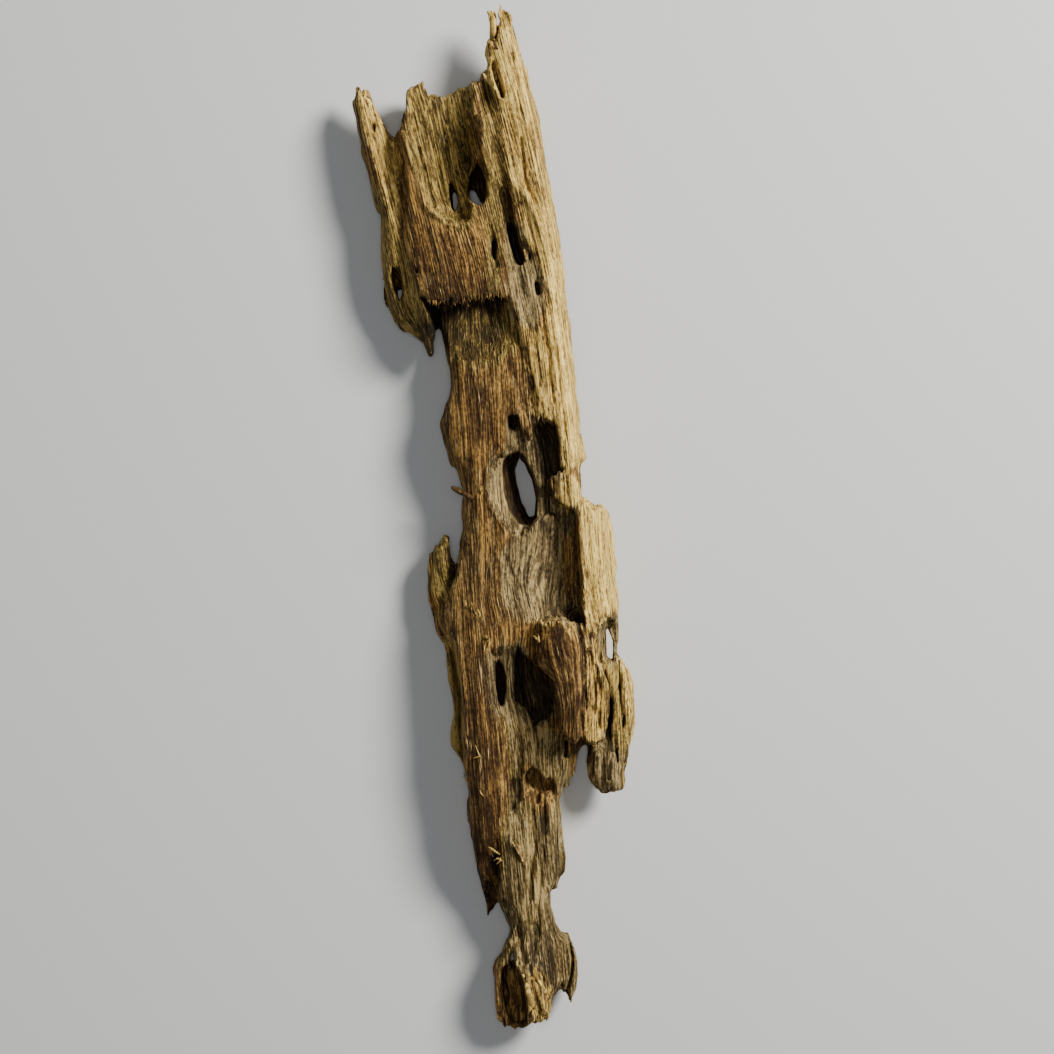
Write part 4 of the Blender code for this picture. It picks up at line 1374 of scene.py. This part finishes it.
def spread(tree, value, low, high):
    """A value turned into 0 below low and 1 above high, with an S curve between."""
    pairs = (("Value", value), ("From Min", low), ("From Max", high))
    return node(tree, "ShaderNodeMapRange", pairs, interpolation_type="SMOOTHSTEP").outputs[0]


def blend(tree, share, first, second, blend_type="MIX"):
    """Two colours mixed by a share."""
    pairs = ((0, share), (6, first), (7, second))
    return node(tree, "ShaderNodeMix", pairs, data_type="RGBA", blend_type=blend_type).outputs[2]


def drawn_out(tree, place, across, along, through, detail):
    """Smooth noise with cells of the given sizes in mm across, along and through the grain."""
    size = (1 / across, 1 / along, 1 / through)
    scaled = node(tree, "ShaderNodeVectorMath", ((0, place), (1, size)), operation="MULTIPLY").outputs[0]
    pairs = (("Vector", scaled), ("Scale", 1.0), ("Detail", detail), ("Roughness", 0.6))
    return node(tree, "ShaderNodeTexNoise", pairs).outputs["Fac"]


def grain_group():
    """Fibres of weathered wood, worked out from a place in the grain's directions in mm.

    Puts out fibre and streak, 0 dark to 1 light, pore and fleck, 0 none to 1 full, and a height in mm.
    """
    tree = bpy.data.node_groups.new("weathered grain", "ShaderNodeTree")
    tree.interface.new_socket("Place", in_out="INPUT", socket_type="NodeSocketVector")
    place = tree.nodes.new("NodeGroupInput").outputs["Place"]
    result = tree.nodes.new("NodeGroupOutput")

    wander = drawn_out(tree, place, 5.0, 30.0, 4.0, 1.0)
    push = arithmetic(tree, "SUBTRACT", wander, 0.5)
    shift = node(tree, "ShaderNodeCombineXYZ", (("X", push),)).outputs[0]
    place = node(tree, "ShaderNodeVectorMath", ((0, place), (1, shift)), operation="ADD").outputs[0]
    thread = drawn_out(tree, place, 0.44, 12.0, 1.2, 2.0)
    strand = drawn_out(tree, place, 1.0, 24.0, 2.0, 2.0)
    speck = drawn_out(tree, place, 0.55, 1.3, 0.9, 2.0)
    band = drawn_out(tree, place, 3.4, 50.0, 5.0, 2.0)
    patch = drawn_out(tree, place, 4.0, 9.0, 4.0, 3.0)
    dash = drawn_out(tree, place, 0.42, 2.2, 1.0, 1.0)
    glint = drawn_out(tree, place, 0.30, 8.0, 1.0, 1.0)
    sparse = drawn_out(tree, place, 4.0, 18.0, 4.0, 1.0)

    pore = spread(tree, dash, 0.60, 0.70)
    lit = arithmetic(tree, "MULTIPLY", spread(tree, glint, 0.64, 0.72), spread(tree, sparse, 0.46, 0.58))
    made = {
        "Fibre": summed(
            tree, 0.0, (spread(tree, strand, 0.34, 0.66), 0.24), (spread(tree, thread, 0.38, 0.62), 0.48),
            (spread(tree, speck, 0.36, 0.64), 0.28),
        ),
        "Streak": spread(tree, band, 0.32, 0.68),
        "Patch": spread(tree, patch, 0.30, 0.70),
        "Pore": pore,
        "Fleck": lit,
        "Height": summed(
            tree, 0.0, (thread, 0.80), (strand, 0.60), (speck, 0.35), (pore, -0.12), (lit, 0.08),
        ),
    }
    for name, value in made.items():
        tree.interface.new_socket(name, in_out="OUTPUT", socket_type="NodeSocketFloat")
        tree.links.new(value, result.inputs[name])
    return tree


# Colours of the wood's dark, middle and light fibres, then of grime and painted shade, of lit flecks and of
# open pores
BROWN = ((0.030, 0.013, 0.0032), (0.122, 0.069, 0.0185), (0.48, 0.29, 0.088))
AMBER = ((0.032, 0.012, 0.0028), (0.122, 0.061, 0.0145), (0.47, 0.26, 0.064))
PALE = ((0.088, 0.049, 0.013), (0.550, 0.350, 0.088), (1.00, 0.73, 0.220))
GREY = ((0.029, 0.020, 0.009), (0.152, 0.104, 0.041), (0.47, 0.35, 0.155))
OLIVE = ((0.026, 0.016, 0.004), (0.132, 0.084, 0.019), (0.52, 0.36, 0.098))
GRIME_AND_PAINTED_SHADE = (0.20, 0.15, 0.10, 1)
FLECK = (0.78, 0.58, 0.27, 1)
PORE = (0.30, 0.24, 0.20, 1)


def toned(tree, share, colours):
    """A ramp from the dark fibre through the middle one to the light one."""
    ramp = node(tree, "ShaderNodeValToRGB", (("Fac", share),))
    stops = ramp.color_ramp.elements
    stops[0].position, stops[0].color = 0.08, (*colours[0], 1)
    stops[1].position, stops[1].color = 0.95, (*colours[2], 1)
    middle = stops.new(0.52)
    middle.color = (*colours[1], 1)
    return ramp.outputs["Color"]


def weathered_wood(group):
    """Bare weathered wood: brown, amber, pale, grey and olive fibres, with grime and painted shade in its
    hollows and its grain's grooves.
    """
    material = bpy.data.materials.new("weathered wood")
    material.use_nodes = True
    tree = material.node_tree
    shader = tree.nodes["Principled BSDF"]

    def value_of(name, output="Fac"):
        return node(tree, "ShaderNodeAttribute", attribute_name=name).outputs[output]

    grain = tree.nodes.new("ShaderNodeGroup")
    grain.node_tree = group
    place = value_of("grain_place", "Vector")
    tree.links.new(place, grain.inputs["Place"])
    fibre, streak, patch, pore, fleck = (
        grain.outputs[name] for name in ("Fibre", "Streak", "Patch", "Pore", "Fleck")
    )
    # Tone from the fibres and patches, with painted shade in the grain's grooves from the crest value
    tone = summed(tree, -0.465, (fibre, 1.05), (value_of("crest"), 0.50), (streak, 0.16), (patch, 0.22))
    tone = arithmetic(tree, "ADD", value_of("lift"), tone)
    edge = arithmetic(tree, "MULTIPLY_ADD", fibre, 0.5, -0.25)

    colour = blend(tree, streak, toned(tree, tone, BROWN), toned(tree, tone, AMBER))
    for name, colours in (("olive", OLIVE), ("grey", GREY), ("pale", PALE)):
        share = spread(tree, arithmetic(tree, "ADD", value_of(name), edge), 0.25, 0.75)
        colour = blend(tree, share, colour, toned(tree, tone, colours))
    colour = blend(tree, arithmetic(tree, "MULTIPLY", fleck, 0.8), colour, FLECK)
    colour = blend(tree, arithmetic(tree, "MULTIPLY", pore, 0.55), colour, PORE, "MULTIPLY")
    # Grime and painted shade: darker where a point sees little of the sky or lies in a painted shade zone
    closed = arithmetic(tree, "MULTIPLY_ADD", value_of("dark"), -0.55, value_of("open"))
    colour = blend(tree, spread(tree, closed, 0.74, -0.04), colour, GRIME_AND_PAINTED_SHADE, "MULTIPLY")
    tree.links.new(colour, shader.inputs["Base Color"])

    pairs = (("Height", grain.outputs["Height"]), ("Strength", 1.0), ("Distance", MM))
    bump = node(tree, "ShaderNodeBump", pairs)
    tree.links.new(bump.outputs["Normal"], shader.inputs["Normal"])
    rough = arithmetic(tree, "MULTIPLY_ADD", fibre, -0.15, 0.92)
    tree.links.new(rough, shader.inputs["Roughness"])
    shader.inputs["Specular IOR Level"].default_value = 0.25
    return material


def plain_material(name, colour, roughness):
    """One colour all over, with no pattern."""
    material = bpy.data.materials.new(name)
    material.use_nodes = True
    shader = material.node_tree.nodes["Principled BSDF"]
    shader.inputs["Base Color"].default_value = (*colour, 1)
    shader.inputs["Roughness"].default_value = roughness
    return material


def make_floor():
    """A flat square under the piece, at height 0."""
    half = 1.6
    corners = [(-half, -half, 0), (half, -half, 0), (half, half, 0), (-half, half, 0)]
    mesh = bpy.data.meshes.new("floor")
    mesh.from_pydata(corners, [], [(0, 1, 2, 3)])
    mesh.materials.append(plain_material("pale floor", (0.72, 0.74, 0.76), 0.7))
    floor = bpy.data.objects.new("floor", mesh)
    bpy.context.scene.collection.objects.link(floor)


def area_light(name, turn, rise, distance, size, power, colour):
    """A round light that faces the middle of the wood, turned from +X and raised by angles in degrees."""
    data = bpy.data.lights.new(name, "AREA")
    data.shape = "DISK"
    data.size = size
    data.energy = power
    data.color = colour
    light = bpy.data.objects.new(name, data)
    bpy.context.scene.collection.objects.link(light)
    turn, rise = math.radians(turn), math.radians(rise)
    flat = distance * math.cos(rise)
    light.location = (flat * math.cos(turn), flat * math.sin(turn), distance * math.sin(rise))
    light.rotation_euler = (0, math.pi / 2 - rise, turn)


def make_lights():
    """A soft window at the upper right, a ceiling that lights the holes, and a wide weak sky and room."""
    area_light("window", 36, 36, 1.1, 0.40, 22.0, (1.0, 0.97, 0.90))
    area_light("ceiling", 0, 90, 1.35, 0.30, 2.2, (1.0, 0.98, 0.95))
    area_light("sky", 200, 75, 1.3, 1.2, 1.0, (0.93, 0.96, 1.0))
    world = bpy.data.worlds.new("soft room")
    world.use_nodes = True
    world.node_tree.nodes["Background"].inputs["Color"].default_value = (0.93, 0.96, 1.0, 1)
    world.node_tree.nodes["Background"].inputs["Strength"].default_value = 0.085
    bpy.context.scene.world = world


def make_camera():
    """Looks straight down on the piece, so that the front sheet has the size it has in the photograph."""
    middle = PHOTO_SIDE / 2
    sheet_height = 12.0
    distance = 1000.0
    data = bpy.data.cameras.new("camera")
    data.sensor_fit = "AUTO"
    data.angle = 2 * math.atan(middle * MM_PER_PIXEL / distance)
    camera = bpy.data.objects.new("camera", data)
    bpy.context.scene.collection.objects.link(camera)
    camera.location = (to_x(middle) * MM, to_y(middle) * MM, (sheet_height + distance) * MM)
    bpy.context.scene.camera = camera


make_camera()
make_lights()
make_floor()
across_steps, along_steps, up_steps, wood, front_sheet, front_level = wood_field()
surface = make_wood(across_steps, along_steps, up_steps, wood, front_level)
fibres = make_fibres(across_steps, along_steps, front_sheet)
finish = weathered_wood(grain_group())
surface.data.materials.append(finish)
fibres.data.materials.append(finish)
